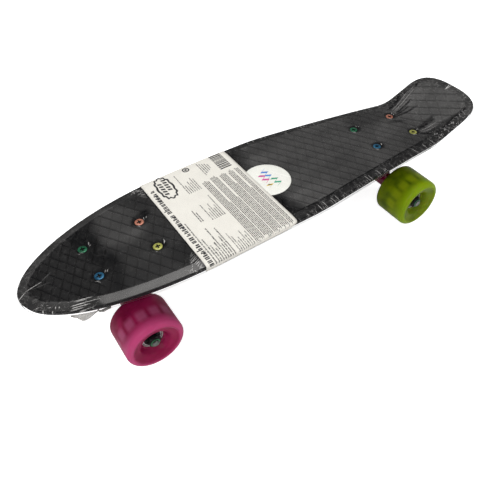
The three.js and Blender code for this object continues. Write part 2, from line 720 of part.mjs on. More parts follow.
// The round beam that holds the axle, and the wings that carry it from the ring.
function hangerBeam() {
  const bore = AXLE_RADIUS + FIT;
  const taperStart = beamHalfLength - BEARING_RADIUS;
  const half = [
    [BEAM_RADIUS, beamHalfLength / 2],
    [BEAM_END_RADIUS, taperStart],
    [BEAM_END_RADIUS, beamHalfLength],
    [bore, beamHalfLength],
  ];
  const mirrored = half.map(([radius, y]) => [radius, -y]).reverse();
  const wingHalf = beamHalfLength - WING_TAPER;
  const wingTop = WING_RISE * (ringCentre.z - axleCentre.z);
  const wingOutline = [[-wingHalf, 0], [wingHalf, 0], [RING_RADIUS, wingTop], [-RING_RADIUS, wingTop]];
  return [turned([...mirrored, ...half], PIN_FACETS), frontPlate(wingOutline, BEAM_RADIUS)];
}

// The arm from the ring and the beam up to the root of the pivot nose.
function hangerArm(root) {
  const beamFront = axleCentre.x + BEAM_RADIUS;
  return sidePlate([
    [root.x + ARM_HALF_DEPTH, root.z + ARM_HALF_DEPTH + 1],
    [root.x - ARM_HALF_DEPTH, root.z + ARM_HALF_DEPTH],
    [ringCentre.x + RING_RADIUS * 0.8, ringCentre.z + 1],
    [ringCentre.x + RING_RADIUS * 0.6, axleCentre.z],
    [beamFront - 2.7, axleCentre.z],
    [beamFront - 0.5, root.z - BEAM_RADIUS],
    [root.x + 1.5 * ARM_HALF_DEPTH, root.z - ARM_HALF_DEPTH / 2],
  ], ARM_WIDTH);
}

function makeHanger() {
  const noseRoot = alongNose(2.6 * PIVOT_NOSE_RADIUS);
  const noseBall = new THREE.SphereGeometry(PIVOT_NOSE_RADIUS, PIN_FACETS, BALL_FACETS);
  noseBall.translate(pivotBall.x, pivotBall.y, pivotBall.z);
  const body = joined([
    ...hangerBeam().map((piece) => piece.translate(axleCentre.x, axleCentre.y, axleCentre.z)),
    bar(alongKingpin(-ringHalf), alongKingpin(ringHalf), RING_RADIUS),
    bar(pivotBall, noseRoot, PIVOT_NOSE_RADIUS),
    noseBall,
    hangerArm(noseRoot),
  ]);
  const room = BUSHING_RADIUS + BUSHING_ROOM;
  const seat = BUSHING_RADIUS + BOLT_FIT;
  const nutRoom = kingpinNutEnd + 2 * THREAD_SHOWING;
  const bore = new THREE.CylinderGeometry(AXLE_RADIUS + FIT, AXLE_RADIUS + FIT, WHEEL_WIDTH * 3, PIN_FACETS);
  return geometryOf(cut(body, [
    bar(alongKingpin(baseSeat), alongKingpin(-ringHalf), room),
    bar(alongKingpin(ringHalf), alongKingpin(nutRoom), room),
    bar(alongKingpin(-RING_THICKNESS), alongKingpin(RING_THICKNESS), RING_HOLE_RADIUS),
    bar(alongKingpin(-RING_THICKNESS), alongKingpin(-seatHeight), seat),
    bar(alongKingpin(seatHeight), alongKingpin(RING_THICKNESS), seat),
    bore.translate(axleCentre.x, axleCentre.y, axleCentre.z),
  ]));
}

function makeTruck(end) {
  const truck = new THREE.Group();
  const add = (name, geometry, material) => truck.add(named(`${name}_${end}`, geometry, material));
  add('baseplate', makeBaseplate(), FINISHES.truck);
  add('pivot_cup', makePivotCup(), FINISHES.cup);
  add('kingpin', makeKingpin(), FINISHES.zinc);
  add('kingpin_nut', makeKingpinNut(), FINISHES.zinc);
  const barrel = makeBushing(topBushingEnd, -seatHeight - FIT, BUSHING_RADIUS, BUSHING_RADIUS);
  const cone = makeBushing(seatHeight + FIT, bottomBushingEnd, BUSHING_RADIUS, BUSHING_TIP_RADIUS);
  add('bushing_top', barrel, FINISHES.bushing);
  add('bushing_bottom', cone, FINISHES.bushing);
  add('hanger', makeHanger(), FINISHES.truck);
  const rod = new THREE.CylinderGeometry(AXLE_RADIUS, AXLE_RADIUS, 2 * axleHalfLength, PIN_FACETS);
  add('axle', rod.translate(axleCentre.x, axleCentre.y, axleCentre.z), FINISHES.zinc);
  return truck;
}

// ---------------------------------------------------------------------------------------------------------
// Wheel, in its own frame: origin in its middle, +Y towards its outer face
// ---------------------------------------------------------------------------------------------------------

// The shoulder's quarter round as [radius, y], from the tread to the face.
function shoulder(treadRadius, faceY, steps = 2) {
  return Array.from({ length: steps + 1 }, (_, i) => {
    const turn = (i / steps) * (Math.PI / 2);
    const radius = treadRadius - WHEEL_SHOULDER + WHEEL_SHOULDER * Math.cos(turn);
    return [radius, faceY - WHEEL_SHOULDER + WHEEL_SHOULDER * Math.sin(turn)];
  });
}

function makeTyre() {
  const treadRadius = WHEEL_RADIUS / Math.cos(Math.PI / WHEEL_FACETS); // so that its flats touch the floor
  const faceY = WHEEL_WIDTH / 2;
  const rimRadius = treadRadius - WHEEL_SHOULDER - FACE_RING;
  const seatRadius = BEARING_RADIUS + BOLT_FIT;
  const half = [
    [CORE_RADIUS + BOLT_FIT, coreHalfWidth + FIT],
    [seatRadius, coreHalfWidth + FIT],
    [seatRadius, coreHalfWidth + FIT + DISH_WALL],
    [rimRadius, faceY],
    ...shoulder(treadRadius, faceY).reverse(),
  ];
  const mirrored = half.map(([radius, y]) => [radius, -y]).reverse();
  return turned([...half, ...mirrored], WHEEL_FACETS).rotateY(Math.PI / WHEEL_FACETS);
}

function makeCore() {
  const shoulderHalf = SPACER_LENGTH / 2;
  const seatRadius = BEARING_RADIUS + FIT;
  return turned([
    [CORE_RADIUS, -coreHalfWidth],
    [CORE_RADIUS, coreHalfWidth],
    [seatRadius, coreHalfWidth],
    [seatRadius, shoulderHalf],
    [CORE_SHOULDER_RADIUS, shoulderHalf],
    [CORE_SHOULDER_RADIUS, -shoulderHalf],
    [seatRadius, -shoulderHalf],
    [seatRadius, -coreHalfWidth],
  ], PIN_FACETS);
}

function makeBearing() {
  const bore = AXLE_RADIUS + FIT;
  return turned([
    [bore, -BEARING_WIDTH / 2],
    [BEARING_RADIUS, -BEARING_WIDTH / 2],
    [BEARING_RADIUS, BEARING_WIDTH / 2],
    [bore, BEARING_WIDTH / 2],
  ], PIN_FACETS);
}

function makeSpacer() {
  const bore = AXLE_RADIUS + FIT;
  const half = SPACER_LENGTH / 2;
  return turned([[bore, -half], [SPACER_RADIUS, -half], [SPACER_RADIUS, half], [bore, half]], SMALL_FACETS);
}

// The axle nut with its washer, from y = 0 outwards.
function makeAxleNut() {
  const at = (y) => new THREE.Vector3(0, y, 0);
  const nutEnd = SPEED_WASHER + AXLE_NUT_HEIGHT;
  const washer = bar(at(0), at(SPEED_WASHER), SPEED_WASHER_RADIUS);
  const nut = bar(at(0), at(nutEnd), AXLE_NUT_RADIUS, AXLE_NUT_RADIUS, 6);
  const hole = bar(at(-THROUGH), at(nutEnd + THROUGH), AXLE_RADIUS + FIT);
  return geometryOf(cut(joined([washer, nut]), [hole]));
}

function makeWheel(name, colour) {
  const wheel = new THREE.Group();
  const bearingY = (SPACER_LENGTH + BEARING_WIDTH) / 2 + FIT;
  wheel.add(named(`tyre_${name}`, makeTyre(), colour));
  wheel.add(named(`light_core_${name}`, makeCore(), FINISHES.core));
  for (const [place, side] of [['outer', 1], ['inner', -1]]) {
    const bearing = named(`bearing_${name}_${place}`, makeBearing(), FINISHES.steel);
    bearing.position.y = side * bearingY;
    wheel.add(bearing);
  }
  wheel.add(named(`spacer_${name}`, makeSpacer(), FINISHES.blackSteel));
  const nut = named(`axle_nut_${name}`, makeAxleNut(), FINISHES.zinc);
  nut.position.y = coreHalfWidth + FIT;
  wheel.add(nut);
  return wheel;
}

// ---------------------------------------------------------------------------------------------------------
// Assembly
// ---------------------------------------------------------------------------------------------------------

const skateboard = new THREE.Group();

skateboard.add(named('deck', makeDeck(), FINISHES.deck));
skateboard.add(named('sticker', makeSticker(), FINISHES.sticker));
skateboard.add(named('paper_sleeve', makeSleeve(), FINISHES.paper));
skateboard.add(named('shrink_film', makeFilm(), FINISHES.film));

const boltColours = {
  fore_right: FINISHES.boltGreen,
  fore_left: FINISHES.boltBlue,
  aft_right: FINISHES.boltOrange,
  aft_left: FINISHES.boltYellow,
};

for (const { name, row, side, x, y } of boltPlaces()) {
  const bolt = named(`deck_bolt_${name}`, makeBolt(headZ(x) - boltEndZ), boltColours[`${row}_${side}`]);
  bolt.position.set(x, y, headZ(x));
  const nut = named(`locknut_${name}`, makeLocknut(), FINISHES.zinc);
  nut.position.set(x, y, locknutTopZ);
  skateboard.add(bolt, nut);
}

for (const { end, x, outwards } of truckStations) {
  const truck = makeTruck(end);
  truck.position.set(x, 0, mountingZ);
  truck.rotation.z = outwards < 0 ? Math.PI : 0;
  skateboard.add(truck);
  for (const [side, across] of [['left', -1], ['right', 1]]) {
    const wheel = makeWheel(`${end}_${side}`, end === 'front' ? FINISHES.pink : FINISHES.green);
    wheel.position.set(x + outwards * AXLE_OFFSET, across * wheelY, WHEEL_RADIUS);
    wheel.rotation.z = across < 0 ? Math.PI : 0;
    skateboard.add(wheel);
  }
}

export default skateboard;
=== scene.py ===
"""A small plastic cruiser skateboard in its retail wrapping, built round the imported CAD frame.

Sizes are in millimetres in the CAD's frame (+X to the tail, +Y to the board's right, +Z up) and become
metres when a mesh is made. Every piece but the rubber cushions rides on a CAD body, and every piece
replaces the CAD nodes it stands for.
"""

import functools
import math
import random

import bmesh
import bpy
import numpy as np
from mathutils import Matrix, Vector
from mathutils.geometry import delaunay_2d_cdt


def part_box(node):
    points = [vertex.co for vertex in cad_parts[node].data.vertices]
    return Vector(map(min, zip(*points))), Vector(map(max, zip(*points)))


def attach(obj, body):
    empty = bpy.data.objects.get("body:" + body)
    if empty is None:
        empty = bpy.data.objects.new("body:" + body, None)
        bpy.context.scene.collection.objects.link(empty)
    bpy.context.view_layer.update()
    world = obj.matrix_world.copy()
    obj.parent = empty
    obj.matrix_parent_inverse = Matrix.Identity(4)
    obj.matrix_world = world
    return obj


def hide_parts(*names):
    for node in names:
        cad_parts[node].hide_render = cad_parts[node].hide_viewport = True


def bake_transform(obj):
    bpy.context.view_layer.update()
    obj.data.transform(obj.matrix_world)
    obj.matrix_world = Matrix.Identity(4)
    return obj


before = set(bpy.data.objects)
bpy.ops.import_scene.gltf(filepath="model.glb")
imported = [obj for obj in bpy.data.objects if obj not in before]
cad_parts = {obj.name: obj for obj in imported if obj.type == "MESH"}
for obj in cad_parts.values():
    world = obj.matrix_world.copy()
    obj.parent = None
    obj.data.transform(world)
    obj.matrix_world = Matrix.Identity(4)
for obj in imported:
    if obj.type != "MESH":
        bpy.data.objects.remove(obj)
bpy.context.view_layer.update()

MM = 0.001


def node_box(name):
    """Lowest and highest corner of a CAD node, in millimetres."""
    low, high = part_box(name)
    return Vector(low) / MM, Vector(high) / MM


# ---- Sizes, from the frame and the deck's own form ----

deck_low, deck_high = node_box("deck")
NOSE_X, TAIL_X = deck_low.x, deck_high.x
HALF_WIDTH = deck_high.y
MOUNT_Z = node_box("baseplate_front")[1].z
FIT = 0.3
PAD_DEPTH = 14
PAD_Z = MOUNT_Z + FIT
DECK_Z = PAD_Z + PAD_DEPTH

NOSE_TO_TRUCK = 103
TRUCK_SPACING = 354
BOLTS_X, BOLTS_Y = 62, 41.3
FRONT_X = NOSE_X + NOSE_TO_TRUCK
REAR_X = FRONT_X + TRUCK_SPACING
MIDDLE_X = (FRONT_X + REAR_X) / 2

ARCH_RISE = 5.1
KICK_X = TAIL_X - 81
KICK_RADIUS = 55
KICK_ANGLE = math.radians(22)
NOSE_LENGTH = 185
PARALLEL_LENGTH = 102
TAIL_LENGTH = 47
TAIL_HALF_WIDTH = 48.8
TAIL_CORNER = 32
TAIL_POWER = 2.75

BEVEL_WIDTH = 9.5
BEVEL_DROP = 1
EDGE_DEPTH = 8.5  # deck top to the lower edge
EDGE_DRAFT = 2.5  # how far the edge leans in towards its foot
PLATE = 4
RIM_WALL = 5.5
RIB = 3
RIB_PITCH = 30
NOSE_PATCH_X = -216  # the grooves are closer together in front of this
# pitch along, pitch across, one crossing of the grooves
GROOVES = {"nose": (10.3, 17.2, (-240.4, 3.5)), "deck": (13.15, 21.0, (-156.6, 8.6))}
GROOVE_HALF_WIDTH = 0.65
GROOVE_DEPTH = 0.55
TOP_RECESS = 0.4  # grooved field below the smooth border

SLEEVE_LOW, SLEEVE_HIGH = node_box("paper_sleeve")
STICKER_LOW, STICKER_HIGH = node_box("sticker")
SLEEVE_GAP = 0.8
FILM_GAP = 0.8
FILM_OVER_SLEEVE = 1.3
FILM_OUT = 1.1  # outside the deck's edge and below it
FILM_RETURN = 12

TRUCKS = {"front": (FRONT_X, -1), "rear": (REAR_X, 1)}
SIDES = {"left": -1, "right": 1}

TRUCK_HEIGHT = 57
AXLE_OFFSET = 8
tyre_low, tyre_high = node_box("tyre_front_left")
WHEEL_RADIUS = MOUNT_Z - TRUCK_HEIGHT
WHEEL_HALF = (tyre_high.y - tyre_low.y) / 2
WHEEL_Y = -(tyre_high.y + tyre_low.y) / 2
SHOULDER = 5.5
CORE_HALF = 12
CORE_BLOCKS = 14

BASE_THICKNESS = 5
BASE_MARGIN = 8  # from the bolts' middle lines to the baseplate's edge
PAD_MARGIN = BASE_MARGIN + 3  # and to the edge of the deck's pad over it
OUTLINE_STEP = 1.0
TAPER_EASE = 0.15  # share of the taper over which it starts and ends softly
MERGE_DISTANCE = 1e-6
CAST_VOXEL = 0.8
CAST_SMOOTHING = 6
CAST_SHARP = 50


# ---- Mesh helpers ----


def linked(name, data):
    """A new object in the scene that shows a mesh, light or camera."""
    made = bpy.data.objects.new(name, data)
    bpy.context.scene.collection.objects.link(made)
    return made


def add_object(name, mesh, material, body, *nodes):
    """A finished piece: its material is set, it rides on a body and replaces CAD nodes.

    A piece that bends between two bodies is made with no body."""
    piece = linked(name, mesh)
    mesh.materials.append(material)
    if body:
        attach(piece, body)
    if nodes:
        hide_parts(*nodes)
    return piece


def raw_mesh(name, points, faces):
    """A mesh of points in millimetres, as they are."""
    mesh = bpy.data.meshes.new(name)
    mesh.from_pydata([tuple(c * MM for c in p) for p in points], [], faces)
    return mesh


def mesh_from(name, points, faces, sharp=35):
    """A smooth-shaded mesh with sharp edges over an angle. Points are in millimetres."""
    return finished(raw_mesh(name, points, faces), sharp)


def finished(mesh, sharp):
    """Merges doubled points, turns faces outwards and sets the shading."""
    bm = bmesh.new()
    bm.from_mesh(mesh)
    bmesh.ops.remove_doubles(bm, verts=bm.verts, dist=MERGE_DISTANCE)
    bmesh.ops.dissolve_degenerate(bm, edges=bm.edges, dist=MERGE_DISTANCE)
    bmesh.ops.recalc_face_normals(bm, faces=bm.faces)
    bm.to_mesh(mesh)
    bm.free()
    mesh.shade_smooth()
    mesh.set_sharp_from_angle(angle=math.radians(sharp))
    return mesh


def strip(starts, closed=True):
    """Faces between rows of equal size, given by the number of each row's first point. The rows are
    rings where closed, and otherwise open lines."""
    size = starts[1] - starts[0]
    faces = []
    for low, high in zip(starts, starts[1:]):
        for i in range(size if closed else size - 1):
            j = (i + 1) % size
            faces.append((low + i, low + j, high + j, high + i))
    return faces


def lathe(profile, segments, centre=(0, 0, 0), axis=(0, 0, 1)):
    """Points and faces of a ring turned about an axis. The profile is a closed list of (radius, along)."""
    turn = Vector((0, 0, 1)).rotation_difference(Vector(axis))
    points = []
    for i in range(segments):
        angle = math.tau * i / segments
        for radius, along in profile:
            local = Vector((radius * math.cos(angle), radius * math.sin(angle), along))
            points.append(Vector(centre) + turn @ local)
    size = len(profile)
    return points, strip([*range(0, segments * size, size), 0])


def merged(*shapes):
    """Several (points, faces) as one."""
    points, faces = [], []
    for some_points, some_faces in shapes:
        start = len(points)
        points += some_points
        faces += [tuple(i + start for i in face) for face in some_faces]
    return points, faces


def rounded(corners, radius, steps=3):
    """An open path of (a, b) with each inner corner rounded."""
    path = [Vector(corners[0])]
    for before, here, after in zip(corners, corners[1:], corners[2:]):
        before, here, after = Vector(before), Vector(here), Vector(after)
        reach = min(radius, (before - here).length / 2.2, (after - here).length / 2.2)
        start = here + (before - here).normalized() * reach
        end = here + (after - here).normalized() * reach
        for i in range(steps + 1):
            t = i / steps
            path.append((1 - t) ** 2 * start + 2 * t * (1 - t) * here + t ** 2 * end)
    path.append(Vector(corners[-1]))
    return [tuple(p) for p in path]


def ring_profile(corners, radius, steps=3):
    """A closed profile with every corner rounded."""
    middle = tuple((a + b) / 2 for a, b in zip(corners[0], corners[-1]))
    return rounded([middle, *corners, middle], radius, steps)[:-1]


def rod(start, end, radius, chamfer, segments=48):
    """A solid round bar with chamfered ends."""
    axis = Vector(end) - Vector(start)
    length = axis.length
    profile = [(0.01, 0), (radius - chamfer, 0), (radius, chamfer)]
    profile += [(radius, length - chamfer), (radius - chamfer, length), (0.01, length)]
    return lathe(profile, segments, start, axis.normalized())


def relief(loops, extra=()):
    """Points and faces of a plan drawn by loops of (x, y, z), triangulated inside the first loop.

    extra holds open lines or single points as lists of (x, y, z)."""
    flat, heights, edges = [], [], []
    first = len(loops[0])
    for loop in loops:
        start = len(flat)
        flat += [Vector(p[:2]) for p in loop]
        heights += [p[2] for p in loop]
        size = len(loop)
        edges += [(start + i, start + (i + 1) % size) for i in range(size)]
    for line in extra:
        start = len(flat)
        flat += [Vector(p[:2]) for p in line]
        heights += [p[2] for p in line]
        edges += [(start + i, start + i + 1) for i in range(len(line) - 1)]
    made = delaunay_2d_cdt(flat, edges, [list(range(first))], 0, 1e-7)
    points = []
    for place, origins in zip(made[0], made[3]):
        height = heights[origins[0]] if origins else None
        points.append([place.x, place.y, height])
    inside = [tuple(face) for face, origins in zip(made[2], made[5]) if 0 in origins]
    return points, inside


def prism(outline, low, high, inset=0.3):
    """A flat-topped solid over an outline of (x, y), with small chamfers top and bottom."""
    size = len(outline)
    middle = sum((Vector(p) for p in outline), Vector((0, 0))) / size
    small = [Vector(p) + (middle - Vector(p)).normalized() * inset for p in outline]
    rings = [(small, low), (outline, low + inset), (outline, high - inset), (small, high)]
    points = [(p[0], p[1], z) for ring, z in rings for p in ring]
    caps = [tuple(range(size)), tuple(range(3 * size, 4 * size))]
    return points, caps + strip([0, size, 2 * size, 3 * size])


def rounded_plan(half_x, half_y, corner, steps, x=0.0):
    """A rectangle of (x, y) with round corners about a place on the middle line, from its +X +Y corner."""
    plan = []
    for quarter in range(4):
        side_x, side_y = (1, -1, -1, 1)[quarter], (1, 1, -1, -1)[quarter]
        for i in range(steps + 1):
            angle = (quarter + i / steps) * math.pi / 2
            plan.append((x + side_x * (half_x - corner) + corner * math.cos(angle),
                         side_y * (half_y - corner) + corner * math.sin(angle)))
    return plan


def placed(shape, matrix):
    """A shape moved by a matrix, in millimetres."""
    return [matrix @ Vector(p) for p in shape[0]], shape[1]


def frame_at(origin, axis):
    """A matrix whose Z lies along the axis, in millimetres."""
    turn = Vector((0, 0, 1)).rotation_difference(Vector(axis).normalized())
    return Matrix.Translation(Vector(origin)) @ turn.to_matrix().to_4x4()


def fused(name, shapes, cutters):
    """Overlapping solids grown together like a casting, then bored by the cutters."""
    body = linked(name + "_raw", mesh_from(name + "_raw", *merged(*shapes)))
    remesh = body.modifiers.new("remesh", "REMESH")
    remesh.mode = "VOXEL"
    remesh.voxel_size = CAST_VOXEL * MM
    soften = body.modifiers.new("soften", "SMOOTH")
    soften.factor = 0.5
    soften.iterations = CAST_SMOOTHING
    tools = []
    for i, cutter in enumerate(cutters):
        tool = linked(f"{name}_tool_{i}", mesh_from(f"{name}_tool_{i}", *cutter))
        cut = body.modifiers.new(f"cut_{i}", "BOOLEAN")
        cut.operation = "DIFFERENCE"
        cut.solver = "EXACT"
        cut.object = tool
        tools.append(tool)
    depsgraph = bpy.context.evaluated_depsgraph_get()
    mesh = bpy.data.meshes.new_from_object(body.evaluated_get(depsgraph))
    mesh.name = name
    for spare in [body, *tools]:
        bpy.data.objects.remove(spare)
    return finished(mesh, CAST_SHARP)


# ---- The deck's form, as in the CAD ----


def arch(x):
    return DECK_Z + ARCH_RISE * (1 - ((x - MIDDLE_X) / (TRUCK_SPACING / 2)) ** 2)


kick_entry = math.atan(-2 * ARCH_RISE * (KICK_X - MIDDLE_X) / (TRUCK_SPACING / 2) ** 2)
kick_centre_x = KICK_X - KICK_RADIUS * math.sin(kick_entry)
kick_centre_z = arch(KICK_X) + KICK_RADIUS * math.cos(kick_entry)
kick_end_x = kick_centre_x + KICK_RADIUS * math.sin(KICK_ANGLE)


def top(x):
    """Height of the deck's top: a parabola, an arc, then the straight kicktail."""
    if x < KICK_X:
        return arch(x)
    on_arc = min(x, kick_end_x) - kick_centre_x
    height = kick_centre_z - math.sqrt(KICK_RADIUS ** 2 - on_arc ** 2)
    return height + max(0, x - kick_end_x) * math.tan(KICK_ANGLE)


def soft_ramp(t):
    """From 0 to 1, straight but for a soft start and end."""
    t, ease = min(max(t, 0), 1), TAPER_EASE
    if t < ease:
        return t * t / (2 * ease * (1 - ease))
    if t > 1 - ease:
        return 1 - (1 - t) ** 2 / (2 * ease * (1 - ease))
    return (t - ease / 2) / (1 - ease)


flank_x = NOSE_X + NOSE_LENGTH
taper_x = flank_x + PARALLEL_LENGTH
taper_end_x = TAIL_X - TAIL_LENGTH


def flank(x):
    taper = soft_ramp((x - taper_x) / (taper_end_x - taper_x))
    return HALF_WIDTH + (TAIL_HALF_WIDTH - HALF_WIDTH) * taper


def half_outline():
    """The deck's edge on the +Y side as (x, y), from the nose tip to the tail's end."""
    half = []
    nose_steps = round(1.2 * NOSE_LENGTH / OUTLINE_STEP)
    for i in range(nose_steps):
        turn = i / nose_steps * math.pi / 2
        half.append((flank_x - NOSE_LENGTH * math.cos(turn), HALF_WIDTH * math.sin(turn)))
    corner_x = TAIL_X - TAIL_CORNER
    flank_steps = round((corner_x - flank_x) / OUTLINE_STEP)
    for i in range(flank_steps):
        x = flank_x + (corner_x - flank_x) * i / flank_steps
        half.append((x, flank(x)))
    tail_steps = round(2.2 * TAIL_CORNER / OUTLINE_STEP) + 6
    for i in range(tail_steps + 1):
        turn = i / tail_steps * math.pi / 2
        x = corner_x + TAIL_CORNER * math.sin(turn) ** (2 / TAIL_POWER)
        across = abs(math.cos(turn)) ** (2 / TAIL_POWER) if i < tail_steps else 0
        half.append((x, flank(x) * across))
    return half


def evened(half, step):
    """The same path with points at even spacing."""
    path = [Vector(p) for p in half]
    lengths = [0.0]
    for a, b in zip(path, path[1:]):
        lengths.append(lengths[-1] + (b - a).length)
    count = round(lengths[-1] / step)
    at = np.linspace(0, lengths[-1], count + 1)
    xs = np.interp(at, lengths, [p.x for p in path])
    ys = np.interp(at, lengths, [p.y for p in path])
    return list(zip(xs.tolist(), ys.tolist()))


class Edge:
    """The closed edge of the deck, with points at an even step, that can be moved inwards."""

    def __init__(self, step):
        half = evened(half_outline(), step)
        back = [(x, -y) for x, y in half[1:-1]]
        loop = np.array(half[::-1] + back)  # runs along +Y to the nose, then back along -Y
        along = np.roll(loop, -1, axis=0) - np.roll(loop, 1, axis=0)
        along /= np.linalg.norm(along, axis=1)[:, None]
        self.loop = loop
        self.inwards = np.stack([-along[:, 1], along[:, 0]], 1)

    def inset(self, distance):
        return self.loop + self.inwards * distance

    def ring(self, distance, lift):
        """The loop moved inwards and lifted off the deck's top, as (x, y, z)."""
        return [(x, y, top(x) + lift) for x, y in self.inset(distance).tolist()]


fine_edge = Edge(3.0)


@functools.cache
def half_edge(inset):
    """The deck's edge on the +Y side, moved inwards: its places along the board and across it."""
    return tuple(zip(*sorted(p for p in fine_edge.inset(inset).tolist() if p[1] >= -1e-6)))


def half_width(x, inset):
    """Half width of the deck inside an inset, at one place along it."""
    return float(np.interp(x, *half_edge(inset), left=0, right=0))


def nearest_segments(ring, points):
    """For each point, the nearest segment of a closed ring, the share along it, and how far the point
    lies from it as (x, y)."""
    run = np.roll(ring, -1, axis=0) - ring
    offset = points[:, None] - ring
    share = np.clip((offset * run).sum(2) / (run ** 2).sum(1), 0, 1)
    gap = offset - run * share[:, :, None]
    nearest = np.linalg.norm(gap, axis=2).argmin(1)
    rows = np.arange(len(points))
    return nearest, share[rows, nearest], gap[rows, nearest]


# ---- Materials ----


class Nodes:
    """A node tree, with short calls for the nodes that the finishes share."""

    def __init__(self, tree):
        self.tree = tree

    def add(self, kind, **settings):
        node = self.tree.nodes.new(kind)
        for key, value in settings.items():
            setattr(node, key, value)
        return node

    def feed(self, socket, value):
        if isinstance(value, bpy.types.NodeSocket):
            self.tree.links.new(value, socket)
        else:
            socket.default_value = value

    def math(self, operation, a, b=0.0, clamp=False):
        node = self.add("ShaderNodeMath", operation=operation, use_clamp=clamp)
        self.feed(node.inputs[0], a)
        self.feed(node.inputs[1], b)
        return node.outputs[0]

    def times(self, a, b):
        return self.math("MULTIPLY", a, b)

    def plus(self, a, b, clamp=False):
        return self.math("ADD", a, b, clamp)

    def minus(self, a, b, clamp=False):
        return self.math("SUBTRACT", a, b, clamp)

    def span(self, value, from_low, from_high, to_low, to_high, clamp=True):
        node = self.add("ShaderNodeMapRange", clamp=clamp)
        for socket, number in zip(node.inputs, (value, from_low, from_high, to_low, to_high)):
            self.feed(socket, number)
        return node.outputs[0]


class Finish(Nodes):
    """A new material that takes its finish from a slot of the record. Its textures lie in the object's own
    frame."""

    def __init__(self, name, slot_name):
        self.material = bpy.data.materials.new(name)
        self.material["slot"] = slot_name
        self.material.use_nodes = True
        super().__init__(self.material.node_tree)
        self.tree.nodes.clear()
        self.output = self.add("ShaderNodeOutputMaterial")
        self.place = self.add("ShaderNodeTexCoord").outputs["Object"]

    def surface(self, shader):
        self.tree.links.new(shader, self.output.inputs["Surface"])
        return self.material

    def noise(self, size_mm, detail=4.0, stretch=(1, 1, 1)):
        """Noise whose features are about size_mm across, longer along an axis with a smaller stretch."""
        scaled = self.add("ShaderNodeMapping")
        self.feed(scaled.inputs["Vector"], self.place)
        scaled.inputs["Scale"].default_value = [s / (size_mm * MM) for s in stretch]
        node = self.add("ShaderNodeTexNoise")
        self.feed(node.inputs["Vector"], scaled.outputs[0])
        node.inputs["Scale"].default_value = 1.0
        node.inputs["Detail"].default_value = detail
        return node.outputs["Fac"]

    def mix(self, factor, a, b):
        node = self.add("ShaderNodeMix", data_type="RGBA")
        self.feed(node.inputs["Factor"], factor)
        for socket, value in ((node.inputs[6], a), (node.inputs[7], b)):
            self.feed(socket, value if isinstance(value, bpy.types.NodeSocket) else (*value, 1))
        return node.outputs[2]

    def diamonds(self, width, floors=((0, 0), (0, 0))):
        """Low in the deck's diamond grooves, rising to 1 between them. The floors are the values in the
        two families of grooves, for the nose and for the rest of the deck."""
        place = self.add("ShaderNodeSeparateXYZ")
        self.feed(place.inputs[0], self.place)
        patches = []
        for (pitch_x, pitch_y, (start_x, start_y)), lows in zip(GROOVES.values(), floors):
            along = self.span(place.outputs["X"], start_x * MM, (start_x + pitch_x) * MM, 0, 1, False)
            across = self.span(place.outputs["Y"], start_y * MM, (start_y + pitch_y) * MM, 0, 1, False)
            waves = []
            for lean, low in zip(("ADD", "SUBTRACT"), lows):
                wave = self.math("PINGPONG", self.math(lean, along, across), 0.5)
                waves.append(self.span(wave, 0, width * 13 / pitch_x, low, 1))
            patches.append(self.math("MINIMUM", *waves))
        behind = self.math("GREATER_THAN", place.outputs["X"], NOSE_PATCH_X * MM)
        return self.span(behind, 0, 1, *patches)

    def attribute(self, name):
        return self.add("ShaderNodeAttribute", attribute_name=name).outputs["Fac"]

    def bump(self, height, depth_mm, below=None):
        node = self.add("ShaderNodeBump")
        self.feed(node.inputs["Height"], height)
        node.inputs["Distance"].default_value = depth_mm * MM
        if below is not None:
            self.feed(node.inputs["Normal"], below)
        return node.outputs[0]

    def facing_up(self):
        """How far the surface faces up: 1 on a level top, 0 on an upright wall, -1 below."""
        split = self.add("ShaderNodeSeparateXYZ")
        self.feed(split.inputs[0], self.add("ShaderNodeNewGeometry").outputs["Normal"])
        return split.outputs["Z"]

    def principled(self, **sockets):
        node = self.add("ShaderNodeBsdfPrincipled")
        for key, value in sockets.items():
            socket = node.inputs[key.replace("_", " ").title().replace("Ior", "IOR")]
            if isinstance(value, tuple) and len(value) == 3 and socket.type == "RGBA":
                value = (*value, 1)
            self.feed(socket, value)
        return node.outputs[0]


def plastic(name, slot_name, dark, light, rough=(0.4, 0.55), below=None, **more):
    """Moulded plastic or rubber: cloudy colour, fine grain, and worn spots that shine a little. Faces
    that look down may have a paler colour."""
    n = Finish(name, slot_name)
    cloud = n.span(n.noise(35), 0.35, 0.65, 0, 1)
    grain = n.noise(1.2, 5)
    scuffs = n.span(n.noise(9, 6, (0.3, 1, 1)), 0.58, 0.7, 0, 0.6)
    colour = n.mix(n.plus(cloud, scuffs, True), dark, light)
    if below:
        colour = n.mix(n.span(n.facing_up(), -0.6, -0.2, 1, 0), colour, n.mix(cloud, light, below))
    roughness = n.span(n.plus(grain, scuffs), 0.3, 1.0, *rough)
    return n.surface(n.principled(
        base_color=colour, roughness=roughness, normal=n.bump(grain, 0.05), **more))


def metal(name, slot_name, dark, light, rough=(0.25, 0.45)):
    """Plated or ground steel: fine grain, dull patches and small pits."""
    n = Finish(name, slot_name)
    patches = n.span(n.noise(7, 4), 0.35, 0.65, 0, 1)
    lines = n.noise(0.8, 4)
    pits = n.span(n.noise(1.6, 3), 0.62, 0.72, 0, 0.7)
    colour = n.mix(n.plus(patches, pits, True), light, dark)
    roughness = n.span(n.plus(lines, pits), 0.3, 1.2, *rough)
    return n.surface(n.principled(
        base_color=colour, metallic=1.0, roughness=roughness, normal=n.bump(lines, 0.03)))


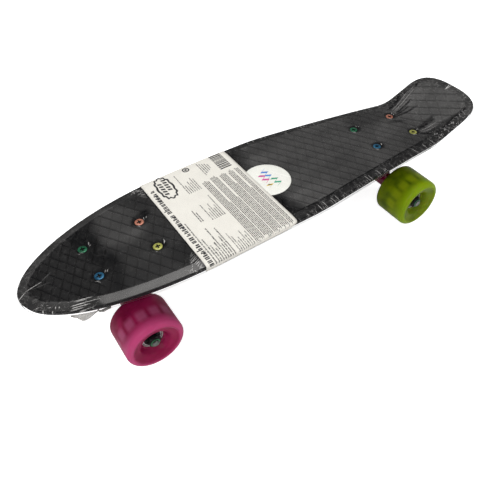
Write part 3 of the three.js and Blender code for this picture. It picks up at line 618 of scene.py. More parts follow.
def enamel(name, slot_name, dark, light, metallic=0.0):
    """Powder coat or coloured plating: orange peel, cloudy depth and rubbed spots. A screw's cross recess
    is painted black as shade, and the rims of the rear screws are painted darker as shade."""
    n = Finish(name, slot_name)
    cloud = n.span(n.noise(12), 0.35, 0.65, 0, 1)
    peel = n.noise(0.9, 3)
    rubbed = n.span(n.noise(3, 6), 0.63, 0.7, 0, 0.5)
    colour = n.mix(n.plus(cloud, rubbed, True), dark, light)
    # painted shade: black in a screw's cross recess, darker on the rims of the rear screws
    colour = n.mix(n.attribute("painted_shade"), colour, (0.004, 0.004, 0.004))
    roughness = n.span(n.plus(peel, rubbed), 0.3, 1.0, 0.3, 0.45)
    return n.surface(n.principled(
        base_color=colour, metallic=metallic, roughness=roughness, normal=n.bump(peel, 0.05),
        coat_weight=0.3, coat_roughness=0.15))


def paper(name, slot_name, white, shade):
    """Coated paper: fibres, faint mottling, and the grooves of the deck pressed softly through it, as
    bumps that are also painted darker as shade.
    """
    n = Finish(name, slot_name)
    fibres = n.noise(0.7, 5, (1, 0.25, 1))
    mottle = n.span(n.noise(14, 5), 0.3, 0.7, 0, 1)
    height = n.diamonds(0.09)
    normal = n.bump(fibres, 0.04, n.bump(height, 0.12))
    # the paper is painted darker in the grooves than between them: painted shade
    colour = n.mix(n.times(mottle, n.span(height, 0, 1, 1, 0.6)), white, shade)
    return n.surface(n.principled(base_color=colour, roughness=n.span(fibres, 0.3, 0.7, 0.5, 0.7),
                                  normal=normal, specular_ior_level=0.3))


def ink(name, slot_name, colour, faded):
    """Printing ink: slightly uneven cover over the paper's fibres."""
    n = Finish(name, slot_name)
    fibres = n.noise(0.5, 5, (1, 0.3, 1))
    cover = n.span(n.noise(2.5, 6), 0.4, 0.7, 0, 1)
    return n.surface(n.principled(base_color=n.mix(cover, colour, faded), roughness=0.5,
                                  normal=n.bump(fibres, 0.02)))


def shrink_film():
    """Clear film: hazy where it is slack, with painted sheen of the lamps laid into the haze, painted white
    highlights and glints along its creases and wrinkles, and painted shade over the deck's grooves,
    where the haze is thinned.
    """
    n = Finish("clear_film", "clear_film")
    crumple = n.attribute("crumple")
    clouds = n.span(n.noise(22, 5, (0.4, 1, 1)), 0.35, 0.65, 0.8, 1.15)
    field = n.attribute("field")
    # the haze is thinned over the deck's grooves, as painted shade in them
    groove_shade = n.span(field, 0, 1, 1, n.diamonds(0.14, ((0.1, 0.5), (0.35, 0.85))))
    # the film's haze, which also holds the painted sheen of the lamps
    slack_haze_and_sheen = n.times(n.times(n.attribute("haze_and_sheen"), clouds), groove_shade)
    wave = n.math("ABSOLUTE", n.minus(n.noise(7, 3), 0.5))
    lines = n.span(wave, 0.003, 0.016, 1, 0)
    # painted white highlights along the wrinkle lines
    wrinkle_highlights = n.times(n.times(lines, crumple), 0.5)
    # painted glints: specks of reflected light where the film is crumpled
    glints = n.times(n.span(n.noise(1.1, 2), 0.69, 0.74, 0, 1), field)
    glint_specks = n.times(glints, n.span(crumple, 0.1, 1, 0, 0.3))
    # painted white highlights along the crease ridges
    crease_highlights = n.times(n.span(n.attribute("crease"), 0.15, 0.9, 0, 1), 0.75)
    white = n.plus(n.plus(wrinkle_highlights, glint_specks), crease_highlights)
    opacity = n.plus(slack_haze_and_sheen, white, True)
    lines = n.times(lines, field)
    ripple = n.bump(n.times(n.noise(9, 4, (0.5, 1, 1)), field), 0.1, n.bump(lines, 0.15))
    body = n.principled(base_color=(0.82, 0.8, 0.78), roughness=0.2, alpha=opacity, normal=ripple,
                        specular_ior_level=0.4)
    gloss = n.add("ShaderNodeBsdfGlossy")
    gloss.inputs["Roughness"].default_value = 0.3
    n.feed(gloss.inputs["Normal"], ripple)
    rim = n.add("ShaderNodeFresnel")
    rim.inputs["IOR"].default_value = 1.12
    mixed = n.add("ShaderNodeMixShader")
    n.feed(mixed.inputs[0], n.times(rim.outputs[0], n.span(n.facing_up(), 0, 0.6, 0.2, 1)))
    n.feed(mixed.inputs[1], body)
    n.feed(mixed.inputs[2], gloss.outputs[0])
    return n.surface(mixed.outputs[0])


def gathered_film():
    """Film crushed into a wad: many folds over one another, cloudy grey and only partly clear."""
    n = Finish("gathered_film", "clear_film")
    folds = n.noise(3.2, 6, (1, 1, 0.6))
    lines = n.span(n.math("ABSOLUTE", n.minus(n.noise(4, 4), 0.5)), 0.004, 0.03, 1, 0)
    shade = n.minus(n.span(folds, 0.35, 0.65, 0, 1), n.times(lines, 0.5), True)
    colour = n.mix(shade, (0.11, 0.105, 0.095), (0.4, 0.38, 0.345))
    return n.surface(n.principled(base_color=colour, roughness=0.25, alpha=n.span(folds, 0.3, 0.7, 0.7, 0.95),
                                  normal=n.bump(folds, 0.5)))


def urethane(name, slot_name, deep, middle, painted_bright, window, centre, outwards):
    """Translucent cast wheel: the blocks of the light-up core glow softly through the tread. The outer
    shoulder is painted paler, as light scattered in the urethane there.
    """
    n = Finish(name, slot_name)
    place = n.add("ShaderNodeSeparateXYZ")
    n.feed(place.inputs[0], n.place)
    x = n.minus(place.outputs["X"], centre.x * MM)
    z = n.minus(place.outputs["Z"], centre.z * MM)
    out = n.times(n.minus(place.outputs["Y"], centre.y * MM), outwards)
    radius = n.math("SQRT", n.plus(n.times(x, x), n.times(z, z)))
    turn = n.times(n.math("ARCTAN2", z, x), CORE_BLOCKS / math.tau)
    turn = n.math("PINGPONG", n.plus(turn, 0.75), 0.5)
    from_block = n.math("ABSOLUTE", n.minus(out, 4 * MM))
    blocks = n.times(n.span(turn, 0.03, 0.27, 0, 1), n.span(from_block, 3 * MM, 8.4 * MM, 1, 0))
    blocks = n.times(blocks, n.span(radius, 27 * MM, 30 * MM, 0, 1))
    swirl = n.span(n.noise(16, 4), 0.35, 0.65, 0, 1)
    body = n.mix(swirl, deep, middle)
    # painted light: the cast turns paler towards the outer shoulder
    corner = n.minus(n.plus(radius, out), (WHEEL_RADIUS + WHEEL_HALF) * MM)
    body = n.mix(n.span(corner, -15 * MM, -6 * MM, 0, 0.8), body, painted_bright)
    dish = n.span(radius, (WHEEL_RADIUS - 8) * MM, (WHEEL_RADIUS - 4.5) * MM, 1, 0)
    body = n.mix(dish, body, n.mix(n.span(swirl, 0, 1, 0.3, 0.8), deep, middle))
    colour = n.mix(n.times(blocks, 0.6), body, window)
    grain = n.noise(0.8, 5)
    scuff = n.span(n.noise(5, 6), 0.6, 0.7, 0, 0.2)
    return n.surface(n.principled(
        base_color=colour, roughness=n.span(n.plus(grain, scuff), 0.3, 0.9, 0.3, 0.45),
        normal=n.bump(grain, 0.03), subsurface_weight=0.5, subsurface_scale=0.003,
        subsurface_radius=(1.0, 0.45, 0.6), specular_ior_level=0.08, coat_weight=0.02,
        coat_roughness=0.12))


deck_plastic = plastic("deck_black", "deck_plastic", (0.0025, 0.0025, 0.003), (0.005, 0.005, 0.0055),
                       rough=(0.42, 0.6), below=(0.022, 0.022, 0.023), specular_ior_level=0.08)
film_material = shrink_film()
tag_material = gathered_film()
sleeve_paper = paper("sleeve_paper", "sleeve_paper", (0.796, 0.77, 0.706), (0.743, 0.718, 0.655))
sticker_paper = paper("sticker_paper", "sticker_paper", (0.86, 0.86, 0.8), (0.8, 0.8, 0.74))
print_black = ink("print_black", "sleeve_paper", (0.02, 0.02, 0.022), (0.06, 0.06, 0.065))
print_grey = ink("print_grey", "sleeve_paper", (0.16, 0.16, 0.155), (0.28, 0.275, 0.26))
truck_paint = enamel("truck_paint", "truck_paint", (0.17, 0.002, 0.033), (0.27, 0.006, 0.06))
zinc = metal("zinc_steel", "zinc_steel", (0.32, 0.32, 0.33), (0.62, 0.63, 0.65))
bearing_steel = metal("bearing_steel", "bearing_steel", (0.3, 0.3, 0.31), (0.66, 0.66, 0.67),
                      rough=(0.15, 0.3))
axle_steel = metal("axle_steel", "zinc_steel", (0.05, 0.055, 0.05), (0.2, 0.21, 0.2))
black_steel = plastic("magnet_black", "magnet_black", (0.004, 0.004, 0.0045), (0.014, 0.014, 0.015),
                      rough=(0.35, 0.5), specular_ior_level=0.2)
nylon_green = plastic("nylon_green", "zinc_steel", (0.01, 0.12, 0.04), (0.03, 0.22, 0.08))
bushing_rubber = plastic("bushing_rubber", "bushing_rubber", (0.012, 0.012, 0.013),
                         (0.03, 0.03, 0.032), rough=(0.45, 0.65))
cup_rubber = plastic("black_cup", "black_cup", (0.012, 0.012, 0.012), (0.028, 0.028, 0.028),
                     rough=(0.5, 0.7))
core_plastic = plastic("core_plastic", "core_plastic", (0.62, 0.58, 0.56), (0.8, 0.77, 0.74))
shield_black = plastic("bearing_shield", "bearing_steel", (0.006, 0.006, 0.006),
                       (0.015, 0.015, 0.015), rough=(0.35, 0.5), specular_ior_level=0.2)
BOLT_FINISHES = {
    "fore_right": enamel("bolt_green", "bolt_green", (0.004, 0.07, 0.03), (0.015, 0.2, 0.09), metallic=0.6),
    "fore_left": enamel("bolt_blue", "bolt_blue", (0.004, 0.05, 0.11), (0.02, 0.17, 0.32), metallic=0.6),
    "aft_right": enamel("bolt_orange", "bolt_orange", (0.34, 0.09, 0.05), (0.68, 0.3, 0.2), metallic=0.4),
    "aft_left": enamel("bolt_yellow", "bolt_yellow", (0.24, 0.24, 0.04), (0.46, 0.46, 0.11), metallic=0.4),
}


# ---- Deck ----

bolt_places = {}
for end, (truck_x, _) in TRUCKS.items():
    for row, along in (("fore", -1), ("aft", 1)):
        for side, across in SIDES.items():
            place = (truck_x + along * BOLTS_X / 2, across * BOLTS_Y / 2)
            bolt_places[f"{end}_{row}_{side}"] = place

HOLE_RADIUS = 5.7


def groove_depth(x, y):
    """Depth of the diamond grooves at a place in the grooved field."""
    pitch_x, pitch_y, (start_x, start_y) = GROOVES["nose" if x < NOSE_PATCH_X else "deck"]
    nearest = 1.0
    for lean in (1, -1):
        across = (x - start_x) / pitch_x + lean * (y - start_y) / pitch_y
        nearest = min(nearest, abs(across - round(across)))
    distance = nearest / math.hypot(1 / pitch_x, 1 / pitch_y)
    return GROOVE_DEPTH * max(0, 1 - distance / GROOVE_HALF_WIDTH)


def field_height(x, y):
    """Height of the grooved field, with a countersink round each bolt."""
    surface = top(x) - TOP_RECESS
    for bolt_x, bolt_y in bolt_places.values():
        distance = math.hypot(x - bolt_x, y - bolt_y)
        if distance < HOLE_RADIUS + 1e-3:
            return surface - min(3.4, 1.1 * (HOLE_RADIUS - distance))
    return surface - groove_depth(x, y)


def groove_lines():
    """Both edges and the bottom of every groove, as straight lines across each patch of the board."""
    reach = HALF_WIDTH + 4
    patches = {"nose": (NOSE_X - 4, NOSE_PATCH_X), "deck": (NOSE_PATCH_X, TAIL_X + 4)}
    lines = []
    for name, (low, high) in patches.items():
        pitch_x, pitch_y, (start_x, start_y) = GROOVES[name]
        slope = math.hypot(1 / pitch_x, 1 / pitch_y)
        first = math.floor((low - start_x) / pitch_x - reach / pitch_y) - 1
        last = math.ceil((high - start_x) / pitch_x + reach / pitch_y) + 1
        for k in range(first, last + 1):
            for lean in (1, -1):
                for side in (-1, 0, 1):
                    offset = k + side * GROOVE_HALF_WIDTH * slope
                    ends = [(start_x + (offset - lean * (y - start_y) / pitch_y) * pitch_x, y)
                            for y in (-reach, reach)]
                    line = cut_off(*sorted(ends), low, high)
                    if line:
                        lines.append([(x, y, 0) for x, y in line])
    return lines


def cut_off(start, end, low, high):
    """The part of a line of (x, y), given from its lower x, that lies between two places along the board."""
    if end[0] <= low or start[0] >= high:
        return None
    cut = []
    for limit in (max(start[0], low), min(end[0], high)):
        share = (limit - start[0]) / (end[0] - start[0])
        cut.append((limit, start[1] + (end[1] - start[1]) * share))
    return cut


def circle(centre, radius, count=24, z=0.0):
    turns = [2 * math.pi * i / count for i in range(count)]
    return [(centre[0] + radius * math.cos(t), centre[1] + radius * math.sin(t), z) for t in turns]


def boundary_loop(faces):
    """The outer edge of a sheet of faces, as vertex numbers in order."""
    count, onward = {}, {}
    for face in faces:
        for a, b in zip(face, face[1:] + face[:1]):
            count[frozenset((a, b))] = count.get(frozenset((a, b)), 0) + 1
    for face in faces:
        for a, b in zip(face, face[1:] + face[:1]):
            if count[frozenset((a, b))] == 1:
                onward[a] = b
    start = next(iter(onward))
    loop = [start]
    while onward[loop[-1]] != start:
        loop.append(onward[loop[-1]])
    return loop


def edge_places(distance, points):
    """Where points on the deck's edge, moved inwards, lie along it: (segment, share of the segment)."""
    nearest, share, _ = nearest_segments(fine_edge.inset(distance), np.array(points)[:, :2])
    return list(zip(nearest.tolist(), share.tolist()))


def ring_at(places, distance, lift):
    """The points at places along the deck's edge, moved inwards and lifted off the deck's top."""
    ring = fine_edge.inset(distance)
    points = []
    for i, share in places:
        x, y = ring[i] * (1 - share) + ring[(i + 1) % len(ring)] * share
        points.append((x, y, top(x) + lift))
    return points


POCKET_WALL = ((0, 0), (0.25, 0.06), (0.7, 0.86), (1.3, 1))  # (step into the pocket, share of its depth)


def pocket_loops(x0, x1, inner, outer, side):
    """Loops down the wall of one pocket of the ribbed underside."""
    loops = []
    for step, share in POCKET_WALL:
        count = max(2, round((x1 - x0) / 5))
        xs = [x0 + step + (x1 - x0 - 2 * step) * i / count for i in range(count + 1)]
        low = [(x, inner + step) for x in xs]
        high = [(x, max(outer(x) - step, inner + step + 0.4)) for x in xs]
        plan = low + high[::-1]
        drop = EDGE_DEPTH + (PLATE - EDGE_DEPTH) * share
        loops.append([(x, side * y, top(x) - drop) for x, y in plan])
    return loops


def pockets():
    """Loops of all the pockets between the ribs: a middle and an outer row on each side."""
    pad_x, pad_y = BOLTS_X / 2 + PAD_MARGIN, BOLTS_Y / 2 + PAD_MARGIN
    column_y = pad_y + RIB / 2

    def rim(x):
        return half_width(x, RIM_WALL)

    def column(x):
        return min(column_y - RIB / 2, rim(x))

    ends = pad_x + RIB
    spans = (
        (NOSE_X + BEVEL_WIDTH + RIM_WALL, FRONT_X - ends, False),
        (FRONT_X - pad_x, FRONT_X + pad_x, True),
        (FRONT_X + ends, REAR_X - ends, False),
        (REAR_X - pad_x, min(REAR_X + ends, KICK_X) - RIB, True),
        (kick_end_x, TAIL_X - TAIL_CORNER / 2, False),
    )
    loops = []
    for start, stop, at_pad in spans:
        rows = max(1, round((stop - start + RIB) / RIB_PITCH))
        pitch = (stop - start + RIB) / rows
        for row in range(rows):
            x0 = start + row * pitch
            x1 = x0 + pitch - RIB
            for inner, outer in ((RIB / 2, column), (column_y + RIB / 2, rim)):
                if min(outer(x0), outer(x1)) - inner < RIB or (at_pad and outer is column):
                    continue
                for side in (-1, 1):
                    loops += pocket_loops(x0, x1, inner, outer, side)
    return loops


def pad_loops(x):
    """Loops down the side of the thick pad over a truck."""
    loops = []
    for grow, share in ((1.2, 0), (0.3, 0.3), (0, 0.9), (-0.5, 1)):
        margin = PAD_MARGIN + grow
        loop = []
        for px, py in rounded_plan(BOLTS_X / 2 + margin, BOLTS_Y / 2 + margin, 10 + grow, 5, x):
            root = top(px) - EDGE_DEPTH
            loop.append((px, py, root + (PAD_Z - root) * share))
        loops.append(loop)
    return loops


def make_deck():
    """The deck in one skin: the grooved field, the border and edge in rings, and the ribbed underside."""
    field_inset = BEVEL_WIDTH + 0.6
    outer = fine_edge.ring(field_inset, -TOP_RECESS)
    extra = groove_lines()
    reach = HALF_WIDTH + 4
    extra += [[(x, -reach, 0), (x, reach, 0)] for x in np.linspace(KICK_X, kick_end_x, 10).tolist()]
    for place in bolt_places.values():
        for radius in (HOLE_RADIUS, HOLE_RADIUS - 3.1):
            loop = circle(place, radius)
            extra.append(loop + loop[:1])
    points, faces = relief([outer], extra)
    points = [(x, y, field_height(x, y)) for x, y, _ in points]
    rim = boundary_loop(faces)
    rim_points = [points[i] for i in rim]
    places = edge_places(field_inset, rim_points)
    section = rounded(
        [(BEVEL_WIDTH, 0), (0, -BEVEL_DROP), (EDGE_DRAFT, -EDGE_DEPTH), (EDGE_DRAFT + 2, -EDGE_DEPTH)], 1)
    start = len(points)
    points += rim_points
    for distance, lift in section:
        points += ring_at(places, distance, lift)
    size = len(rim)
    faces += strip([start + i * size for i in range(len(section) + 1)])
    loops = [points[-size:], *pockets(), *pad_loops(FRONT_X), *pad_loops(REAR_X)]
    under_points, under_faces = relief(loops)
    start = len(points)
    points += [(x, y, z if z is not None else top(x) - EDGE_DEPTH) for x, y, z in under_points]
    faces += [tuple(i + start for i in face[::-1]) for face in under_faces]
    add_object("deck_shell", mesh_from("deck_shell", points, faces, 30), deck_plastic, "board", "deck")


make_deck()


# ---- Wrapping: paper sleeve, sticker and shrink film ----

SLEEVE_CORNER = 12
SLEEVE_ROWS, SLEEVE_COLUMNS = 30, 84
PRINT_GAP = SLEEVE_GAP + 0.2
FINE_PRINT = 1.2  # print below this height is drawn as bars


def section_path(x, gap):
    """The deck's section at one place, moved outwards by a gap: (across, lift) from the middle to the
    lower edge on one side."""
    half = half_width(x, 0)
    corners = [(0, gap), (max(half - BEVEL_WIDTH, 0.5), gap), (half + gap, gap - BEVEL_DROP),
               (half + gap - EDGE_DRAFT, -EDGE_DEPTH - gap)]
    return rounded(corners, 2.0, 4)


def along_path(path, distance):
    """The point at a distance along a path of (across, lift)."""
    left = distance
    for (a0, l0), (a1, l1) in zip(path, path[1:]):
        length = math.hypot(a1 - a0, l1 - l0)
        if left <= length or (a1, l1) == path[-1]:
            share = left / length if length else 0
            return a0 + (a1 - a0) * share, l0 + (l1 - l0) * share
        left -= length
    return path[-1]


def on_sleeve(x, across, gap):
    """The point of the sleeve's surface at a distance round the board from its middle line."""
    y, lift = along_path(section_path(x, gap), abs(across))
    return x, math.copysign(y, across), top(x) + lift


def make_sleeve():
    """A sheet over the board's top and edges, open below, with two rounded corners towards the tail."""
    start, stop = SLEEVE_LOW.x, SLEEVE_HIGH.x
    path = section_path(start, SLEEVE_GAP)
    reach = sum(math.dist(a, b) for a, b in zip(path, path[1:]))
    points = []
    for j in range(SLEEVE_COLUMNS + 1):
        across = reach * (2 * j / SLEEVE_COLUMNS - 1)
        from_end = reach - abs(across)
        trim = 0.0
        if from_end < SLEEVE_CORNER:
            trim = SLEEVE_CORNER - math.sqrt(SLEEVE_CORNER ** 2 - (SLEEVE_CORNER - from_end) ** 2)
        for i in range(SLEEVE_ROWS + 1):
            x = start + (stop - trim - start) * i / SLEEVE_ROWS
            points.append(on_sleeve(x, across, SLEEVE_GAP))
    faces = strip(range(0, len(points), SLEEVE_ROWS + 1), closed=False)
    piece = add_object("paper_sleeve_sheet", mesh_from("paper_sleeve_sheet", points, faces, 60),
                       sleeve_paper, "board", "paper_sleeve")
    thick = piece.modifiers.new("thickness", "SOLIDIFY")
    thick.thickness = 0.25 * MM
    thick.offset = 0


class Print:
    """Plain bars of ink on the sleeve. Lines run across the board, from the left side to the right."""

    def __init__(self):
        self.points, self.faces = [], []

    def block(self, x0, x1, y0, y1, slant=0.0):
        start = len(self.points)
        for x, y in ((x0, y0 + slant), (x1, y0), (x1, y1), (x0, y1 + slant)):
            self.points.append(on_sleeve(x, y, PRINT_GAP))
        self.faces.append((start, start + 1, start + 2, start + 3))

    def words(self, x, y0, y1, height, pick):
        """A line of blind print from y0 to y1: each word is a row of ticks, or one bar in fine print."""
        y, width = y0, height * 0.62
        while y < y1 - height:
            count = pick.randint(2, 9)
            if height < FINE_PRINT:
                end = min(y + count * width, y1)
                self.block(x - height, x, y, end)
                y = end + width
                continue
            for _ in range(count):
                if y > y1 - width:
                    break
                tall = height * pick.choice((0.72, 0.72, 0.74, 1.0))
                self.ticks(x, y, width * pick.choice((0.75, 0.85, 1.1)), tall, pick)
                y += width * 1.12
            y += width * 0.6

    def ticks(self, x, y, width, tall, pick):
        """Two upright ticks in place of a letter, the second often shorter."""
        tick = width * 0.42
        self.block(x - tall, x, y, y + tick)
        self.block(x - tall * pick.choice((0.62, 0.75, 1)), x, y + width - tick, y + width)

    def finish(self, name, material):
        piece = add_object(name, mesh_from(name, self.points, self.faces, 60), material, "board")
        piece.modifiers.new("thickness", "SOLIDIFY").thickness = 0.03 * MM


def make_print():
    """Blind print without letters: a headline, a list, three columns, a dense block of four paragraphs
    and a small centred text, all as ticks and bars of ink, and a row of bars."""
    pick = random.Random(7)
    bold, fine = Print(), Print()
    left, near = SLEEVE_LOW.x, -74
    bold.words(left + 8.4, near, 59, 6.6, pick)
    bold.words(left + 11.4, near, -10, 1.7, pick)
    for row, length in enumerate((36, 24, 18, 26, 47, 20, 30, 42)):
        bold.words(left + 14.6 + 2.6 * row, near, near + length, 1.6, pick)
    for row, end in enumerate((3, -3)):
        bold.words(left + 26.5 + 2.4 * row, -18, end, 0.9, pick)
    for column, lengths in ((near, (29, 22, 15, 18, 14, 25, 16, 22)), (-22, (27, 12, 18, 25, 15, 20, 36)),
                            (26, (36, 15, 12, 20, 17, 24, 21))):
        for row, length in enumerate(lengths):
            bold.words(left + 38 + 2.45 * row, column, column + length, FINE_PRINT, pick)
    last_rows = (5, 11, 17, 22)  # the last row of each paragraph but the fourth
    for row in range(26):
        right = 36 + pick.uniform(-3, 1)
        if row in last_rows:
            right = pick.uniform(-20, 15)
        gap = 0.7 * sum(row > last for last in last_rows)
        bold.words(left + 58 + 1.72 * row + gap, near, right, 0.82, pick)
    for row, half in enumerate((12.5, 10, 8, 6.5, 4)):
        fine.words(left + 69 + 2.5 * row, 55 - half, 55 + half, 1.05, pick)
    bar = 41.5
    while bar < 68:
        width = pick.choice((0.8, 1.2, 1.8))
        bold.block(left + 86.5, left + 101, bar, bar + width)
        bar += width + pick.choice((0.6, 0.9, 1.2))
    bold.finish("sleeve_print_bold", print_black)
    fine.finish("sleeve_print_fine", print_grey)


def plain_marks():
    """A wavy badge round two rows of plain bars, and a small ring round a dot."""
    marks = Print()
    left = SLEEVE_LOW.x

    def outline(cx, cy, half_x, half_y, width, waves=0, depth=0.0):
        count = 80
        start = len(marks.points)
        for grow in (0, -width):
            for i in range(count):
                t = math.tau * i / count
                swell = 1 + depth * math.cos(waves * t)
                px, py = ((half + grow) * math.copysign(abs(turn) ** 0.8, turn) * swell
                          for half, turn in ((half_x, math.cos(t)), (half_y, math.sin(t))))
                marks.points.append(on_sleeve(cx + px, cy + py, PRINT_GAP))
        marks.faces.extend(strip([start, start + count]))

    outline(left + 21, 50, 9.5, 19.5, 2.2, 12, 0.06)
    for row, (low, high) in enumerate(((-12, 9), (-7, 13))):
        for step in range(5):
            y = low + (high - low) * step / 4.6
            marks.block(left + 15.5 + 6.2 * row, left + 20 + 6.2 * row, 50 + y, 50 + y + 2.6, 1.5)
    outline(left + 53.7, 64, 4, 4, 1.4)
    marks.block(left + 52.3, left + 55.1, 62.6, 65.4)
    marks.finish("sleeve_plain_marks", print_black)


def make_sticker():
    """A paper disc in rings that follow the arch of the deck."""
    centre = (STICKER_X - 1, -1.2)
    radius = (STICKER_HIGH.x - STICKER_LOW.x) / 2 - 1
    steps = ((1, 0.25), (1, 0.3), (0.985, 0.46), (0.75, 0.46), (0.5, 0.46), (0.25, 0.46))
    points = []
    for share, lift in steps:
        points += [(x, y, top(x) + lift) for x, y, _ in circle(centre, radius * share, 64)]
    starts = range(0, len(points), 64)
    faces = strip(starts) + [tuple(range(start, start + 64)) for start in (starts[0], starts[-1])]
    add_object("round_sticker", mesh_from("round_sticker", points, faces), sticker_paper, "board",
               "sticker")


STICKER_X = (STICKER_LOW.x + STICKER_HIGH.x) / 2
STICKER_MARKS = (  # name, offset along, from and to across, the ink and its faded shade
    ("blue", -1.5, -1, 15.5, (0.01, 0.16, 0.6), (0.05, 0.36, 0.8)),
    ("green", 1.5, -16, -2.5, (0.01, 0.33, 0.2), (0.06, 0.5, 0.25)),
    ("pink", -7.5, -6, 8.5, (0.62, 0.02, 0.28), (0.8, 0.12, 0.42)),
    ("yellow", -8.5, -13.5, -7, (0.75, 0.5, 0.02), (0.85, 0.65, 0.06)),
)


def sticker_shapes():
    """Four plain coloured zigzags in the middle of the sticker."""
    for name, offset, y0, y1, *shades in STICKER_MARKS:
        shape = Print()
        teeth = 3 + int((y1 - y0) / 8)
        rows = ([], [])
        for i in range(teeth + 1):
            y = y0 + (y1 - y0) * i / teeth
            x = STICKER_X + 5 + offset + (3.2 if i % 2 else -3.2)
            for row, half in zip(rows, (-1.6, 1.6)):
                row.append((x + half, y + 0.4 * half))
        for row in rows:
            shape.points += [(x, y, top(x) + 0.5) for x, y in row]
        shape.faces = strip([0, teeth + 1], closed=False)
        shape.finish("sticker_zigzag_" + name, ink("ink_" + name, "sticker_paper", *shades))


class Crease:
    """A narrow ridge of film between two places, with its height fading to its ends.

    It is painted white as a highlight, or where white is below 0, the painted haze and sheen is taken off
    along it, so the deck shows as a painted dark line."""

    def __init__(self, start, end, height, white, width=0.45):
        self.start, self.end = np.array(start, float), np.array(end, float)
        self.height, self.white, self.width = height, white, width

    def shape(self, xy):
        """1 on the ridge, falling to 0 beside it and at its ends."""
        run = self.end - self.start
        offset = xy - self.start
        share = np.clip((offset @ run) / (run @ run), 0, 1)
        gap = np.linalg.norm(offset - share[:, None] * run, axis=1)
        fade = np.sqrt(np.clip(4 * share * (1 - share), 0, 1))
        return np.clip(1 - gap / self.width, 0, 1) * fade

    def lines(self):
        """The ridge and both its feet, as lines of points."""
        run = self.end - self.start
        length = float(np.linalg.norm(run))
        count = max(2, round(length / 2.5))
        across = np.array([-run[1], run[0]]) / length * self.width
        for side in (-1, 0, 1):
            yield [(*(self.start + run * i / count + across * side), 0) for i in range(count + 1)]


# Folds: start, end, how white as a painted highlight (below 0 clear of the painted haze and sheen), and over
# the tail how wide
NOSE_FOLDS = (
    ((-290, -3), (-279, 3), 1), ((-280, 3), (-262, 5), 0.9), ((-264, 5), (-250, 12), 0.4),
    ((-276, 2), (-254, -1), 0.35), ((-283, 22), (-262, 24), 0.35), ((-283, -20), (-272, -22), 0.5),
    ((-279, 34), (-262, 40), 0.4), ((-270, 46), (-256, 50), 0.5),
)
TAIL_FOLDS = (
    ((205, 24), (264, 38), 0.5, 0.6), ((206, 27), (252, 40.5), 0.45, 0.6),
    ((212, 23), (246, 29), 0.4, 0.6), ((208, 16), (240, 11.5), -2, 2.2),
    ((210, 18.6), (233, 19.6), -2, 1.8), ((212, 21.4), (243, 26), -2, 2.2),
    ((206, 31), (252, 44), -2, 3), ((256, 36), (270, 41), -2, 1.8),
    ((204, -24), (238, -26.5), 0.45, 0.7), ((204, -26), (234, -32), 0.4, 0.7),
    ((212, -33), (223, -37), 0.4, 0.7), ((204, -19.5), (237, -21), -2, 2.8),
    ((203, -28), (226, -40), -2, 2.8), ((226, -40), (270, -38), -2, 3),
    ((276, 3.4), (287, 1.8), 0.9, 0.8), ((276, 3.4), (287, 5.2), 0.9, 0.8),
    ((262, -35), (272, -30), 0.35, 0.5),
)


